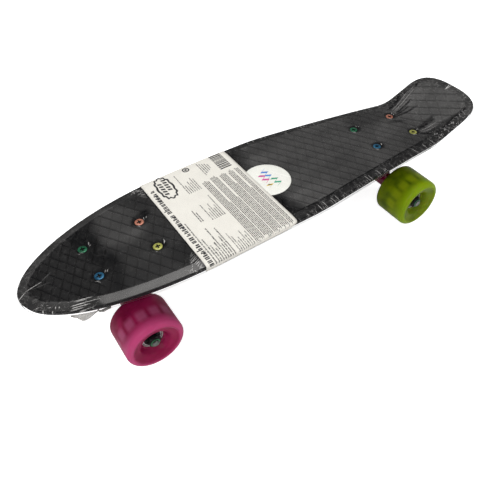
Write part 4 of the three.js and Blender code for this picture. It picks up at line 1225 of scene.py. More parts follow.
def film_creases():
    """Where the film is gathered: at the bolts, round the nose, along the edges and over the kicktail."""
    pick = random.Random(11)
    creases = []

    def fold(x, y, along, across, *look):
        creases.append(Crease((x, y), (x + along, y + across), *look))

    def fan(x, y, angle, count, spread, reach, *look):
        for _ in range(count):
            turn = angle + pick.uniform(-spread, spread)
            length = pick.uniform(*reach)
            fold(x + pick.uniform(-1.5, 1.5), y + pick.uniform(-1.5, 1.5),
                 length * math.cos(turn), length * math.sin(turn), *look)

    for x, y in bolt_places.values():
        fan(x + 6.2, y - 1, 0.9, 2, 0.3, (4, 6.5), 0.4, 0.9, 0.5)
        fan(x - 5.5, y - 3.5, -0.6, 2, 0.4, (4, 7), 0.4, 0.6)
    creases += [Crease(start, end, 0.6, white) for start, end, white in NOSE_FOLDS]
    for i in range(9):  # a bundle beside the left front bolts
        x, y = -259 + 1.5 * i + pick.uniform(-3, 3), -44.5 + 1.2 * i + pick.uniform(-0.3, 0.3)
        reach = pick.uniform(12, 30)
        fold(x, y, reach, -0.33 * reach, 0.5, pick.uniform(0.4, 1), 0.5)
    for x, y, reach in ((-273, -26, 4), (-262, -29, 4), (-259, -31, 3), (-266, -32, 3)):
        fold(x, y, -1.5, -reach, 0.4, 0.7, 0.9)
    for i in range(5):  # the bevel on both sides of the nose
        x = -277 + 3.2 * i
        fan(x, -half_width(x, pick.uniform(2, 6)), pick.uniform(0, 6), 1, 1.5, (3, 6), 0.6, 0.5)
    for i in range(7):
        fan(-263 + 9 * i, 42 + 3.4 * i, 0.4, 1, 0.5, (5, 10), 0.4, 0.4)
    creases += [Crease(start, end, 0.5, white, width) for start, end, white, width in TAIL_FOLDS]
    x = SLEEVE_HIGH.x + 4
    while x < REAR_X + BOLTS_X / 2 + 8:  # ticks over both long edges, from the sleeve to the rear truck
        edge = half_width(x, 0)
        strong = pick.random() < 0.35
        depth = pick.uniform(7.5, 9.5) if strong else pick.uniform(1.5, 5)
        shift = pick.uniform(-2.5, 0.5)
        for side in (-1, 1):
            creases.append(Crease((x, side * (edge + 2.5)), (x + shift, side * (edge - depth)),
                                  0.4, 0.85 if strong else 0.6, 0.4))
        x += pick.uniform(2, 4) if pick.random() < 0.35 else pick.uniform(4, 11)
    for i in range(27):  # and on the edges of the tail
        x = 212 + 1.9 * i + pick.uniform(-1, 1)
        edge = half_width(x, 0)
        for side in (-1, 1):
            y = side * (edge - pick.uniform(0, 9))
            fold(x, y, pick.uniform(-4, 4), side * pick.uniform(-5, 5),
                 0.5, pick.uniform(0.1, 0.42) - 0.1 * side, 0.4)
    for y in range(-34, 36, 9):
        x = TAIL_X - 4 - pick.uniform(0, 3)
        fan(x, y, math.pi, 1, 0.6, (3, 9), 0.4, pick.uniform(0.15, 0.4))
    corner = HALF_WIDTH - 6
    for side in (-1, 1):  # where the film steps down from the sleeve's ends
        for i in range(9):
            y = side * (corner - 2.2 * i + pick.uniform(-1, 1))
            reach = pick.uniform(6, 16) * (1 - 0.06 * i)
            end = (SLEEVE_LOW.x - reach, y + side * pick.uniform(1, 5))
            creases.append(Crease((SLEEVE_LOW.x - 1, y), end, 0.5, pick.uniform(0.3, 0.9)))
        for i in range(3):
            y = side * (corner + 2 - 4 * i)
            end = (SLEEVE_HIGH.x + pick.uniform(3, 7), y - side)
            creases.append(Crease((SLEEVE_HIGH.x + 1, y), end, 0.5, 0.5))
    return creases


def step_up(value, start, end):
    """From 0 at the start to 1 at the end, softly."""
    t = np.clip((value - start) / (end - start), 0, 1)
    return t * t * (3 - 2 * t)


# Where the film is cloudier or clearer, and so where more or less painted sheen lies on it: middle, reach
# along and across, turn, change
FILM_PATCHES = (
    ((-172, 28), (26, 30), 0.2, 0.03), ((-160, -25), (34, 30), 0, 0.006), ((-141, 20), (14, 26), 0, 0.004),
    ((-136, -50), (12, 22), 0.5, -0.01), ((-150, 26), (13, 6), 0.4, -0.04), ((-164, 10), (8, 5), 0, 0.014),
    ((-210, 32), (11, 20), 0.3, -0.014), ((-205, -2), (9, 18), 0.3, -0.014),
    ((18, -52), (40, 15), -0.1, 0.03), ((-14, -50), (9, 20), 0.5, -0.05),
    ((82, -36), (34, 22), 0.35, -0.012), ((2, 33), (15, 10), 0, 0.014), ((-14, 50), (13, 16), 0, -0.02),
    ((124, -28), (34, 16), 0.3, 0.008), ((176, -1), (26, 11), 0.25, 0.026),
    ((172, 34), (30, 17), -0.1, -0.025), ((184, -36), (20, 13), 0, -0.02),
    ((236, -37), (26, 4.5), -0.12, -0.06), ((222, -19), (15, 3), 0.1, -0.06),
    ((226, 39), (22, 4), 0.2, -0.03), ((200, 8), (13, 3), -0.3, -0.045), ((208, -41), (9, 5), 0, -0.05),
)
# Where along the board the film's looks change: the start and the end of each change
NOSE_END = (-218, -206)
SLACK_START = (-200, -188)
HAZY_START = (-24, 0)
TAIL_START = (198, 222)
TAIL_RIM = (236, 262)
# Tents of haze with painted sheen behind the rearmost bolts: side, direction, half its angle, reach
FILM_TENTS = (("right", 0.16, 0.3, 68), ("left", -0.1, 0.2, 40))


def soft_patch(x, y, middle, reach, turn):
    """1 inside a turned oval, falling to 0 across its edge."""
    along, across = x - middle[0], y - middle[1]
    u = (along * math.cos(turn) + across * math.sin(turn)) / reach[0]
    v = (across * math.cos(turn) - along * math.sin(turn)) / reach[1]
    return step_up(1.25 - np.sqrt(u * u + v * v), 0, 0.5)


def film_looks(x, y, inset):
    """How cloudy and how crumpled the film is at each place on it. The cloudiness also carries painted
    sheen and reflections of the lamps.

    It clings and stays clear over the nose, hangs slack behind the front bolts and over the tail, and
    has a painted reflection on the left bevel beside the front truck."""
    wave = 4 * np.sin(y / 17) + 2 * np.sin(y / 7 + 1)
    haze_and_sheen = 0.012 - 0.006 * step_up(x + wave, *NOSE_END)
    haze_and_sheen = haze_and_sheen + 0.016 * step_up(x - 0.15 * y + wave, *SLACK_START)
    haze_and_sheen = haze_and_sheen + 0.042 * step_up(x + wave, *HAZY_START) + 0.013 * step_up(x, *TAIL_START)
    for middle, reach, turn, change in FILM_PATCHES:
        haze_and_sheen = haze_and_sheen + change * soft_patch(x + wave / 2, y + wave / 3, middle, reach, turn)
    for name, angle, half_angle, reach in FILM_TENTS:
        bolt_x, bolt_y = bolt_places["rear_aft_" + name]
        away = np.hypot(x - bolt_x - 3, y - bolt_y)
        turn = np.arctan2(y - bolt_y, x - bolt_x - 3) - angle
        tent = step_up(half_angle - np.abs(turn), 0, 0.08) * step_up(reach - away, 0, 12)
        haze_and_sheen = haze_and_sheen + 0.02 * tent * step_up(away, 3, 7)
    for bolt_x, bolt_y in bolt_places.values():  # it is stretched clear over the screw heads
        away = np.hypot((x - bolt_x - 1.5) / 1.2, y - bolt_y)
        haze_and_sheen = haze_and_sheen * step_up(away, 5.5, 9)
    haze_and_sheen = np.maximum(haze_and_sheen, 0)
    near = step_up(-y, 0, 10)  # the left half of the board
    behind = step_up(x, SLEEVE_HIGH.x, SLEEVE_HIGH.x + 2)
    before_tail = step_up(-x, -214, -200)
    haze_and_sheen = haze_and_sheen * (1 - near * behind * before_tail * step_up(BEVEL_WIDTH + 2.2 - inset, 0, 0.6))
    rim = step_up(BEVEL_WIDTH - inset, -0.5, 0.5)  # the bevelled border
    # where a lamp's reflection is painted on the left bevel beside the front truck
    painted_bright = step_up(-y, 30, 45) * step_up(x, -229, -222) * step_up(-x, 124, 131)
    nose = step_up(-x, 208, 232)
    far_side = step_up(y, 10, 40) * step_up(-x, 120, 180)
    outer = np.maximum(nose, far_side)
    uneven_sheen = 0.5 + 0.5 * np.sin(x / 7 + y / 5) * np.sin(x / 19 - y / 11)
    # the haze on the bevel is mostly painted sheen: strong on the left bevel beside the front truck, fainter
    # round the nose, on the far side, behind the sleeve and over the tail's rim
    bevel_sheen = (0.006 + 0.13 * painted_bright + (0.018 + 0.02 * uneven_sheen) * outer + behind * (0.002 + 0.012 * uneven_sheen)
              + 0.04 * step_up(x, *TAIL_RIM) * (0.5 + 0.5 * uneven_sheen))
    haze_and_sheen = haze_and_sheen * (1 - rim) + rim * bevel_sheen
    haze_and_sheen = haze_and_sheen * step_up(inset, -0.4, 0.8)
    # a painted bright line along the inner edge of the bevel, round the nose and on the far side
    line = np.exp(-((inset - BEVEL_WIDTH - 0.2) / 0.45) ** 2) * outer
    haze_and_sheen = haze_and_sheen + 0.07 * line * (0.4 + 0.6 * uneven_sheen)
    edge = step_up(14 - inset, 0, 6)
    crumple = 0.05 + edge * (0.15 * step_up(-x, 200, 230) + 0.2 * step_up(x, -15, 5))
    crumple = crumple + 0.35 * np.exp(-(((x + 240) / 22) ** 2 + ((y + 48) / 9) ** 2))
    crumple = crumple + edge * (0.15 + 0.3 * near) * step_up(x, 205, 220) * step_up(-x, -268, -255)
    crumple = crumple + 0.08 * step_up(x, 190, 215)
    crumple = crumple * (1 - painted_bright)
    at_sleeve = ((x - SLEEVE_LOW.x + 8) / 9) ** 2 + ((np.abs(y) - 66) / 9) ** 2
    crumple = crumple + 0.8 * np.exp(-at_sleeve)
    over_sleeve = step_up(x, SLEEVE_LOW.x - 1, SLEEVE_LOW.x) * step_up(-x, -SLEEVE_HIGH.x - 1, -SLEEVE_HIGH.x)
    return haze_and_sheen * (1 - over_sleeve), np.clip(crumple, 0, 1) * (1 - 0.9 * over_sleeve)


def inset_of(xy):
    """Distance of each place inside the deck's edge (below 0 outside it)."""
    found = []
    for part in np.array_split(xy, 40):
        nearest, _, gap = nearest_segments(fine_edge.loop, part)
        facing = (gap * fine_edge.inwards[nearest]).sum(1)
        found.append(np.linalg.norm(gap, axis=1) * np.where(facing < 0, -1, 1))
    return np.concatenate(found)


def film_lift(x, inset):
    """Height of the smooth film over the deck's top: down the bevel, then turning over its edge."""
    over = step_up(x, SLEEVE_LOW.x - 6, SLEEVE_LOW.x) * step_up(-x, -SLEEVE_HIGH.x - 6, -SLEEVE_HIGH.x)
    lift = FILM_GAP + (FILM_OVER_SLEEVE - FILM_GAP) * over
    lift = lift - BEVEL_DROP * np.clip(1 - inset / BEVEL_WIDTH, 0, 1)
    turn = np.clip((0.6 - inset) / (0.6 + FILM_OUT), 0, 1)
    return lift - 0.9 * (1 - np.sqrt(1 - turn ** 2))


def make_film():
    """One skin over the deck, the sleeve and the edge, turned in below. Its creases are real ridges."""
    creases = film_creases()
    outer = fine_edge.ring(-FILM_OUT, 0)
    extra = [line for crease in creases for line in crease.lines()]
    for inset in (-0.8, -0.2, 0.8, 4.5, BEVEL_WIDTH - 0.3, BEVEL_WIDTH + 0.4, BEVEL_WIDTH + 1.6,
                  BEVEL_WIDTH + 2.2):
        ring = fine_edge.ring(inset, 0)
        extra.append(ring + ring[:1])
    pitch = 2.6  # of the points between the creases
    places = [(NOSE_X + pitch * (i + 0.5), pitch * (j + (0.25 if i % 2 else -0.25)))
              for i in range(int((TAIL_X - NOSE_X) / pitch)) for j in range(-28, 29)]
    room = inset_of(np.array(places))
    extra += [[(x, y, 0)] for (x, y), inside in zip(places, room) if inside > BEVEL_WIDTH + 3.2]
    points, faces = relief([outer], extra)
    xy = np.array([p[:2] for p in points])
    inset = inset_of(xy)
    crease, rise, clear = np.zeros(len(xy)), np.zeros(len(xy)), np.zeros(len(xy))
    # creases lay painted white highlights, or take off the painted haze and sheen as dark lines
    for item in creases:
        shape = item.shape(xy)
        rise = np.maximum(rise, item.height * shape)
        crease = np.maximum(crease, item.white * shape)
        clear = np.maximum(clear, np.clip(-item.white * shape, 0, 1))
    haze_and_sheen, crumple = film_looks(xy[:, 0], xy[:, 1], inset)
    haze_and_sheen = haze_and_sheen * (1 - clear)
    shake = np.random.default_rng(3).uniform(-0.16, 0.22, len(xy))
    field = step_up(inset, BEVEL_WIDTH + 0.5, BEVEL_WIDTH + 3)
    rise += crumple * shake * field + 0.12 * field * np.sin(xy[:, 0] / 11 + 1.5 * np.sin(xy[:, 1] / 14))
    lift = film_lift(xy[:, 0], inset) + rise * step_up(inset, -1.2, 2)
    heights = np.array([top(x) for x in xy[:, 0]]) + lift
    points = [(x, y, z) for (x, y), z in zip(xy.tolist(), heights.tolist())]
    rim = boundary_loop(faces)
    places = edge_places(-FILM_OUT, [points[i] for i in rim])
    low = -EDGE_DEPTH - FILM_OUT
    section = [(EDGE_DRAFT * share - FILM_OUT, (low + BEVEL_DROP) * share - BEVEL_DROP - 0.9)
               for share in (0, 0.2, 0.4, 0.6, 0.75)]
    section += [(EDGE_DRAFT - 0.9, low + 0.3), (EDGE_DRAFT - 0.2, low)]
    section += [(distance, low) for distance in (4.5, 7, 9.5, FILM_RETURN)]
    start = len(points)
    points += [points[i] for i in rim]
    inner = step_up(inset, BEVEL_WIDTH - 0.4, BEVEL_WIDTH + 0.4)
    looks = [[haze_and_sheen, crumple, crease, inner]]
    edge_crease = crease[rim]
    looks.append([haze_and_sheen[rim], crumple[rim], edge_crease, inner[rim]])
    for step, (distance, drop) in enumerate(section[1:], 1):
        ring = ring_at(places, distance, drop)
        fade = max(0, 1 - step / 6)
        points += [(x, y, z + 0.3 * fade * c) for (x, y, z), c in zip(ring, edge_crease)]
        looks.append([np.full(len(rim), 0.006), crumple[rim] * 0.5, edge_crease * fade, inner[rim]])
    faces += strip([start + i * len(rim) for i in range(len(section))])
    mesh = raw_mesh("shrink_film_skin", points, faces)
    for name, values in zip(("haze_and_sheen", "crumple", "crease", "field"), zip(*looks)):
        layer = mesh.attributes.new(name, "FLOAT", "POINT")
        layer.data.foreach_set("value", np.concatenate(values).astype(np.float32))
    add_object("shrink_film_skin", finished(mesh, 180), film_material, "board", "shrink_film")


def make_film_tag():
    """The crushed end of the film's seam, hanging below the nose's left side."""
    rows, columns = 20, 34
    pick = random.Random(5)
    bends = [(pick.uniform(0.8, 2.2), pick.uniform(1.2, 3.4), pick.uniform(0, 6)) for _ in range(7)]
    points = []
    for j in range(rows + 1):
        for i in range(columns + 1):
            u, v = i / columns, j / rows
            x = -254 + 34 * u
            y = -half_width(x, 2.2) + 2 * v
            ruffle = sum(math.sin(a * 9 * u + b * 5 * v + c) for a, b, c in bends) / 5
            reach = math.sin(math.pi * min(1, 0.08 + 1.35 * u)) if u < 0.68 else 1.1 * (1 - u)
            drop = v * (1.5 + 10.5 * max(0.05, reach)) + 0.5 * ruffle * v
            points.append((x + 1.5 * ruffle * v, y + 3.2 * ruffle * v, top(x) - EDGE_DEPTH - 1 - drop))
    faces = strip(range(0, len(points), columns + 1), closed=False)
    add_object("film_tag", mesh_from("film_tag", points, faces, 180), tag_material, "board")


for make in (make_sleeve, make_print, plain_marks, make_sticker, sticker_shapes, make_film, make_film_tag):
    make()


# ---- Deck bolts and lock nuts ----

BOLT_RADIUS = 2.4
HEAD_RADIUS = 4.8
HEAD_HEIGHT = 2.8
CROSS_HALF, CROSS_ARM = 0.85, 2.7
NUT_HEIGHT = 5  # a lock nut with its collar
NUT_SEGMENTS = 36
THREAD_PAST_NUT = 1.5


def cross_loop(half, arm, centre, z):
    corners = [(arm, -half), (arm, half), (half, half), (half, arm), (-half, arm), (-half, half),
               (-arm, half), (-arm, -half), (-half, -half), (-half, -arm), (half, -arm), (half, -half)]
    return [(centre[0] + x, centre[1] + y, z) for x, y in corners]


def make_bolt(name, place, material):
    """A countersunk machine screw with a cross recess. Its recess is painted black as shade, and the rims
    of the rear screws are painted darker, as shade under the film.
    """
    rim_shade = 0.9 if name.startswith("rear") else 0
    head_z = top(place[0]) + 0.2
    low_z = MOUNT_Z - BASE_THICKNESS - FIT - NUT_HEIGHT - THREAD_PAST_NUT
    count = 40
    loops = [
        circle(place, HEAD_RADIUS, count, head_z - 0.45),
        circle(place, HEAD_RADIUS - 0.12, count, head_z - 0.15),
        circle(place, HEAD_RADIUS - 0.5, count, head_z),
        circle(place, 3.4, count, head_z + 0.1),
        cross_loop(CROSS_HALF, CROSS_ARM, place, head_z + 0.1),
        cross_loop(CROSS_HALF - 0.08, CROSS_ARM - 0.15, place, head_z - 0.3),
        cross_loop(CROSS_HALF - 0.28, CROSS_ARM - 1.2, place, head_z - 2.0),
    ]
    points, faces = relief(loops)
    rim = boundary_loop(faces)
    points = [tuple(p) for p in points]
    rings = []
    for radius, z in ((HEAD_RADIUS, head_z - 0.45), (BOLT_RADIUS, head_z - HEAD_HEIGHT),
                      (BOLT_RADIUS, low_z + 0.4), (BOLT_RADIUS - 0.4, low_z)):
        rings.append(len(points))
        for i in rim:
            x, y = points[i][0] - place[0], points[i][1] - place[1]
            scale = radius / math.hypot(x, y)
            points.append((place[0] + x * scale, place[1] + y * scale, z))
    faces += strip(rings)
    faces.append(tuple(range(rings[-1], rings[-1] + len(rim)))[::-1])
    mesh = mesh_from("screw_" + name, points, faces, 30)
    # painted shade: black in the cross recess, and darker on the rims of the rear screws
    painted_shade = mesh.attributes.new("painted_shade", "FLOAT", "POINT")
    for vertex, value in zip(mesh.vertices, painted_shade.data):
        x, y, z = (c / MM for c in vertex.co)
        away = math.hypot(x - place[0], y - place[1])
        if away < CROSS_ARM + 0.2 and z < head_z:
            value.value = 1
        elif away > HEAD_RADIUS - 0.3:
            value.value = rim_shade
    add_object("screw_" + name, mesh, material, "board", "deck_bolt_" + name)


def hex_nut(origin, axis, radius, height, bore, collar=None, washer=None):
    """A chamfered hexagonal nut from the origin along the axis, with a round collar of some height or
    a washer of some radius and thickness."""
    flats = radius * math.cos(math.pi / 6)
    points = []
    for share, reach in ((0, bore), (0, flats - 0.15), (0.12, radius), (0.88, radius), (1, flats - 0.15),
                         (1, bore)):
        for i in range(NUT_SEGMENTS):
            turn = math.tau * i / NUT_SEGMENTS
            size = min(reach, flats / math.cos(turn % (math.pi / 3) - math.pi / 6))
            points.append((size * math.cos(turn), size * math.sin(turn), share * height))
    shapes = [(points, strip([*range(0, len(points), NUT_SEGMENTS), 0]))]
    if collar:
        ring = ring_profile([(bore, height - 0.2), (flats - 0.6, height - 0.2),
                             (flats - 0.9, height + collar), (bore, height + collar)], 0.4)
        shapes.append(lathe(ring, 32))
    if washer:
        reach, thick = washer
        ring = ring_profile([(bore, -thick), (reach, -thick), (reach, 0), (bore, 0)], 0.25)
        shapes.append(lathe(ring, 48))
    return placed(merged(*shapes), frame_at(origin, axis))


def make_locknut(name, place):
    start = (*place, MOUNT_Z - BASE_THICKNESS - FIT)
    shape = hex_nut(start, (0, 0, -1), 5.4, 4.0, BOLT_RADIUS + 0.05, collar=1.0)
    add_object("nyloc_" + name, mesh_from("nyloc_" + name, *shape, 30), zinc, "board", "locknut_" + name)


for name, place in bolt_places.items():
    make_bolt(name, place, BOLT_FINISHES[name.split("_", 1)[1]])
    make_locknut(name, place)


# ---- Trucks ----

BASE_THICKNESS = 5
PIVOT = Vector((25, 0, -17))
RING = Vector((-9, 0, -34.5))
LEAN = math.radians(15)
KINGPIN_DOWN = Vector((-math.sin(LEAN), 0, -math.cos(LEAN)))
NOSE_DOWN = Vector((-1, 0, -1)).normalized()
RING_HALF = 5
BUSHING_RADIUS = 11.5
TOP_SEAT = -16.6  # along the kingpin from the ring's middle
TOP_BUSHING = (-16.3, -4.3)
LOW_BUSHING = (4.3, 14.3)
NUT_START, NUT_END = 14.6, 23.1
KINGPIN_RADIUS = 4.75
AXLE_RADIUS = 4
BEAM_HALF = WHEEL_Y - CORE_HALF - FIT
WASHER_ROOM, AXLE_NUT_ROOM = 1, 6
AXLE_HALF = WHEEL_Y + CORE_HALF + FIT + WASHER_ROOM + AXLE_NUT_ROOM + THREAD_PAST_NUT
AXLE = Vector((AXLE_OFFSET, 0, -TRUCK_HEIGHT))


def threads(first, pitch, radius, depth, rise, centre, axis):
    """Two turns of a screw thread that show past a nut, as rings of triangular section about an axis."""
    rings = []
    for start in (first, first + pitch):
        ring = [(radius - depth, start), (radius + rise, start + depth), (radius - depth, start + 2 * depth)]
        rings.append(lathe(ring, 40, centre, axis))
    return rings


class Truck:
    """One truck. Its own frame has its origin in the middle of the mounting face and +X outwards."""

    def __init__(self, end):
        self.end = end
        x, outwards = TRUCKS[end]
        turn = Matrix.Rotation(math.pi if outwards < 0 else 0, 4, "Z")
        self.matrix = Matrix.Translation((x, 0, MOUNT_Z)) @ turn
        self.hanger_body = end + "_hanger"

    def kingpin(self, distance):
        return RING + KINGPIN_DOWN * distance

    def nose(self, distance):
        return PIVOT + NOSE_DOWN * distance

    def add(self, name, shape, material, body, *nodes, sharp=35):
        full = f"{name}_{self.end}"
        mesh = mesh_from(full, *placed(shape, self.matrix), sharp)
        return add_object(full, mesh, material, body, *nodes)

    def cast(self, name, shapes, cutters, body, node):
        shapes = [placed(shape, self.matrix) for shape in shapes]
        cutters = [placed(shape, self.matrix) for shape in cutters]
        mesh = fused(f"{name}_{self.end}", shapes, cutters)
        add_object(f"{name}_{self.end}", mesh, truck_paint, body, node)

    def make_baseplate(self):
        outline = rounded_plan(BOLTS_X / 2 + BASE_MARGIN, BOLTS_Y / 2 + BASE_MARGIN, 7, 6)
        plate = prism(outline, -BASE_THICKNESS, 0, 0.5)
        pivot_boss = rod(self.nose(-13.2), self.nose(3), 10.9, 0.8, 48)
        top_end = -RING.z / math.cos(LEAN) - 0.5
        boss = [(0.01, 0), (15, 0), (12.8, top_end + TOP_SEAT), (12.2, top_end + TOP_SEAT + 0.6),
                (0.01, top_end + TOP_SEAT + 0.6)]
        kingpin_boss = lathe(boss, 48, self.kingpin(-top_end), KINGPIN_DOWN)
        web = prism([(-17, 0), (17, 0), (12, 9), (-10, 9)], -1.6, 1.6, 0.3)
        tilt = Matrix.Rotation(math.pi / 2, 4, "X")
        webs = []
        for side in (-1, 1):
            shift = Matrix.Translation((8, side * 9, -BASE_THICKNESS + 0.5))
            webs.append(placed(web, shift @ Matrix.Scale(-1, 4, (0, 0, 1)) @ tilt))
        cuts = [
            prism([(-60, -60), (60, -60), (60, 60), (-60, 60)], 0, 60, 0),
            rod(self.nose(-8.6), self.nose(6), 8.3, 0.2, 48),
            rod(self.kingpin(-top_end - 6), self.kingpin(-28.8), 8.6, 0.2, 48),
            rod(self.kingpin(-32), self.kingpin(TOP_SEAT + 3), 5.3, 0.2, 32),
        ]
        for sx in (-1, 1):
            for sy in (-1, 1):
                place = (sx * BOLTS_X / 2, sy * BOLTS_Y / 2)
                cuts.append(rod((*place, -BASE_THICKNESS - 2), (*place, 2), BOLT_RADIUS + 0.4, 0.1, 24))
        self.cast("truck_base", [plate, pivot_boss, kingpin_boss, *webs], cuts, "board",
                  "baseplate_" + self.end)

    def make_hanger(self):
        beam = ring_profile([(AXLE_RADIUS + 0.1, -BEAM_HALF), (6.6, -BEAM_HALF), (6.6, -BEAM_HALF + 10),
                             (9, -20), (9, 20), (6.6, BEAM_HALF - 10), (6.6, BEAM_HALF),
                             (AXLE_RADIUS + 0.1, BEAM_HALF)], 1.0, 3)
        wing_top = 0.72 * (RING.z - AXLE.z)
        wing = prism([(-25, 0), (25, 0), (15, wing_top), (-15, wing_top)], -4, 4, 1)
        upright = Matrix(((0, 0, 1, AXLE.x - 1), (1, 0, 0, 0), (0, 1, 0, AXLE.z), (0, 0, 0, 1)))
        ring = ring_profile([(7, -RING_HALF), (16, -RING_HALF), (16, RING_HALF), (7, RING_HALF)], 1.2)
        root = self.nose(13)
        arm = [(root.x + 3.4, root.z + 4.4), (root.x - 3.4, root.z + 3.4), (3.8, -33.5), (0.6, AXLE.z),
               (AXLE.x + 6.3, AXLE.z), (AXLE.x + 8.5, root.z - 9), (root.x + 5.1, root.z - 1.7)]
        side = Matrix(((1, 0, 0, 0), (0, 0, -1, 0), (0, 1, 0, 0), (0, 0, 0, 1)))
        shapes = [
            lathe(beam, 64, AXLE, (0, 1, 0)),
            placed(wing, upright),
            lathe(ring, 64, RING, KINGPIN_DOWN),
            rod(self.nose(1), root, 5.0, 0.3, 40),
            self.ball(5.0),
            placed(prism(arm, -6, 6, 0.8), side),
        ]
        cuts = [
            rod(self.kingpin(TOP_SEAT), self.kingpin(-RING_HALF - 0.01), BUSHING_RADIUS + 1.2, 0.1, 48),
            rod(self.kingpin(RING_HALF + 0.01), self.kingpin(NUT_END + 4), BUSHING_RADIUS + 1.2, 0.1, 48),
            rod(self.kingpin(-10), self.kingpin(10), 7, 0.1, 40),
            rod(self.kingpin(-10), self.kingpin(-RING_HALF + 1), BUSHING_RADIUS + 0.5, 0.1, 48),
            rod(self.kingpin(RING_HALF - 1), self.kingpin(10), BUSHING_RADIUS + 0.5, 0.1, 48),
            rod(AXLE - Vector((0, 60, 0)), AXLE + Vector((0, 60, 0)), AXLE_RADIUS + 0.15, 0.1, 40),
        ]
        self.cast("truck_hanger", shapes, cuts, self.hanger_body, "hanger_" + self.end)

    def ball(self, radius):
        """The round end of the hanger that sits in the pivot cup."""
        turns = [math.pi * i / 12 for i in range(13)]
        profile = [(max(0.01, radius * math.sin(t)), -radius * math.cos(t)) for t in turns]
        return lathe(profile, 40, PIVOT, NOSE_DOWN)

    def make_pivot_cup(self):
        cup = [(5.4, 2.8), (7.9, 2.8), (7.9, -8), (0.01, -8), (0.01, -5.6), (3.8, -4.2), (5.4, -1)]
        shape = lathe(ring_profile(cup, 0.5), 40, PIVOT, NOSE_DOWN)
        self.add("pivot_liner", shape, cup_rubber, "board", "pivot_cup_" + self.end)

    def make_kingpin(self):
        head_top = -RING.z / math.cos(LEAN) - 2.5
        head = hex_nut(self.kingpin(-head_top), KINGPIN_DOWN, 8, 5, 2)
        shank = rod(self.kingpin(-head_top + 2), self.kingpin(NUT_END + 1.5), KINGPIN_RADIUS, 0.7, 40)
        turns = threads(NUT_END + 0.15, 0.6, KINGPIN_RADIUS, 0.3, 0.12, RING, KINGPIN_DOWN)
        self.add("kingpin_bolt", merged(head, shank, *turns), zinc, "board", "kingpin_" + self.end)

    def make_kingpin_nut(self):
        start = self.kingpin(NUT_START + 1.5)
        shape = hex_nut(start, KINGPIN_DOWN, 8.2, 5.6, KINGPIN_RADIUS + 0.1, collar=1.3, washer=(10, 1.4))
        self.add("kingpin_locknut", shape, zinc, "board", "kingpin_nut_" + self.end)

    def make_bushings(self):
        """Rubber cushions that bend between the board, which holds one end, and the hanger's ring."""
        low, high = TOP_BUSHING
        barrel = [(4.9, low), (BUSHING_RADIUS - 1, low), (BUSHING_RADIUS - 0.2, low + 2),
                  (BUSHING_RADIUS, (low + high) / 2), (BUSHING_RADIUS - 0.2, high - 2),
                  (BUSHING_RADIUS - 1, high), (4.9, high)]
        low, high = LOW_BUSHING
        cone = [(4.9, low), (BUSHING_RADIUS - 0.6, low), (BUSHING_RADIUS, low + 1.6), (9.2, high - 1.2),
                (8.6, high), (4.9, high)]
        for name, profile, held, moved in (("top", barrel, *TOP_BUSHING),
                                           ("bottom", cone, *LOW_BUSHING[::-1])):
            fine = []
            corners = rounded([*profile, profile[0]], 0.8)[:-1]
            for a, b in zip(corners, corners[1:] + corners[:1]):
                count = max(1, round(math.dist(a, b) / 1.2))
                fine += [(a[0] + (b[0] - a[0]) * i / count, a[1] + (b[1] - a[1]) * i / count)
                         for i in range(count)]
            shape = lathe(fine, 48, RING, KINGPIN_DOWN)
            piece = self.add(f"cushion_{name}", shape, bushing_rubber, None, f"bushing_{name}_{self.end}")
            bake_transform(piece)

    def make_axle(self):
        half = Vector((0, AXLE_HALF, 0))
        shapes = [rod(AXLE - half, AXLE + half, AXLE_RADIUS, 0.6, 40)]
        for side in (-1, 1):
            shapes += threads(AXLE_HALF - 1.35, 0.55, AXLE_RADIUS, 0.25, 0.1, AXLE, (0, side, 0))
        self.add("axle_rod", merged(*shapes), axle_steel, self.hanger_body, "axle_" + self.end)

    def make(self):
        self.make_baseplate()
        self.make_hanger()
        self.make_pivot_cup()
        self.make_kingpin()
        self.make_kingpin_nut()
        self.make_bushings()
        self.make_axle()


for end in TRUCKS:
    Truck(end).make()


# ---- Wheels ----

BEARING = 7
SPACER_HALF = 4.7


def wheel_profile():
    """Half of the wheel's section as (radius, out from its middle), from the bearing seat to the tread."""
    low, high = WHEEL_RADIUS - SHOULDER, WHEEL_HALF - SHOULDER
    dish = rounded([(11.7, CORE_HALF + 0.4), (11.7, CORE_HALF + 1.4), (13.2, CORE_HALF + 2),
                    (16.2, WHEEL_HALF - 4.2), (18, WHEEL_HALF - 2.8), (low - 1.5, WHEEL_HALF - 0.9),
                    (low - 0.9, WHEEL_HALF - 0.15), (low, WHEEL_HALF)], 1.6, 4)
    turns = [math.pi / 2 * i / 9 for i in range(10)]
    shoulder = [(low + SHOULDER * math.sin(t), high + SHOULDER * math.cos(t)) for t in turns]
    tread = [(WHEEL_RADIUS, high * share) for share in (0.75, 0.5, 0.25, 0)]
    return dish[:-1] + shoulder + tread


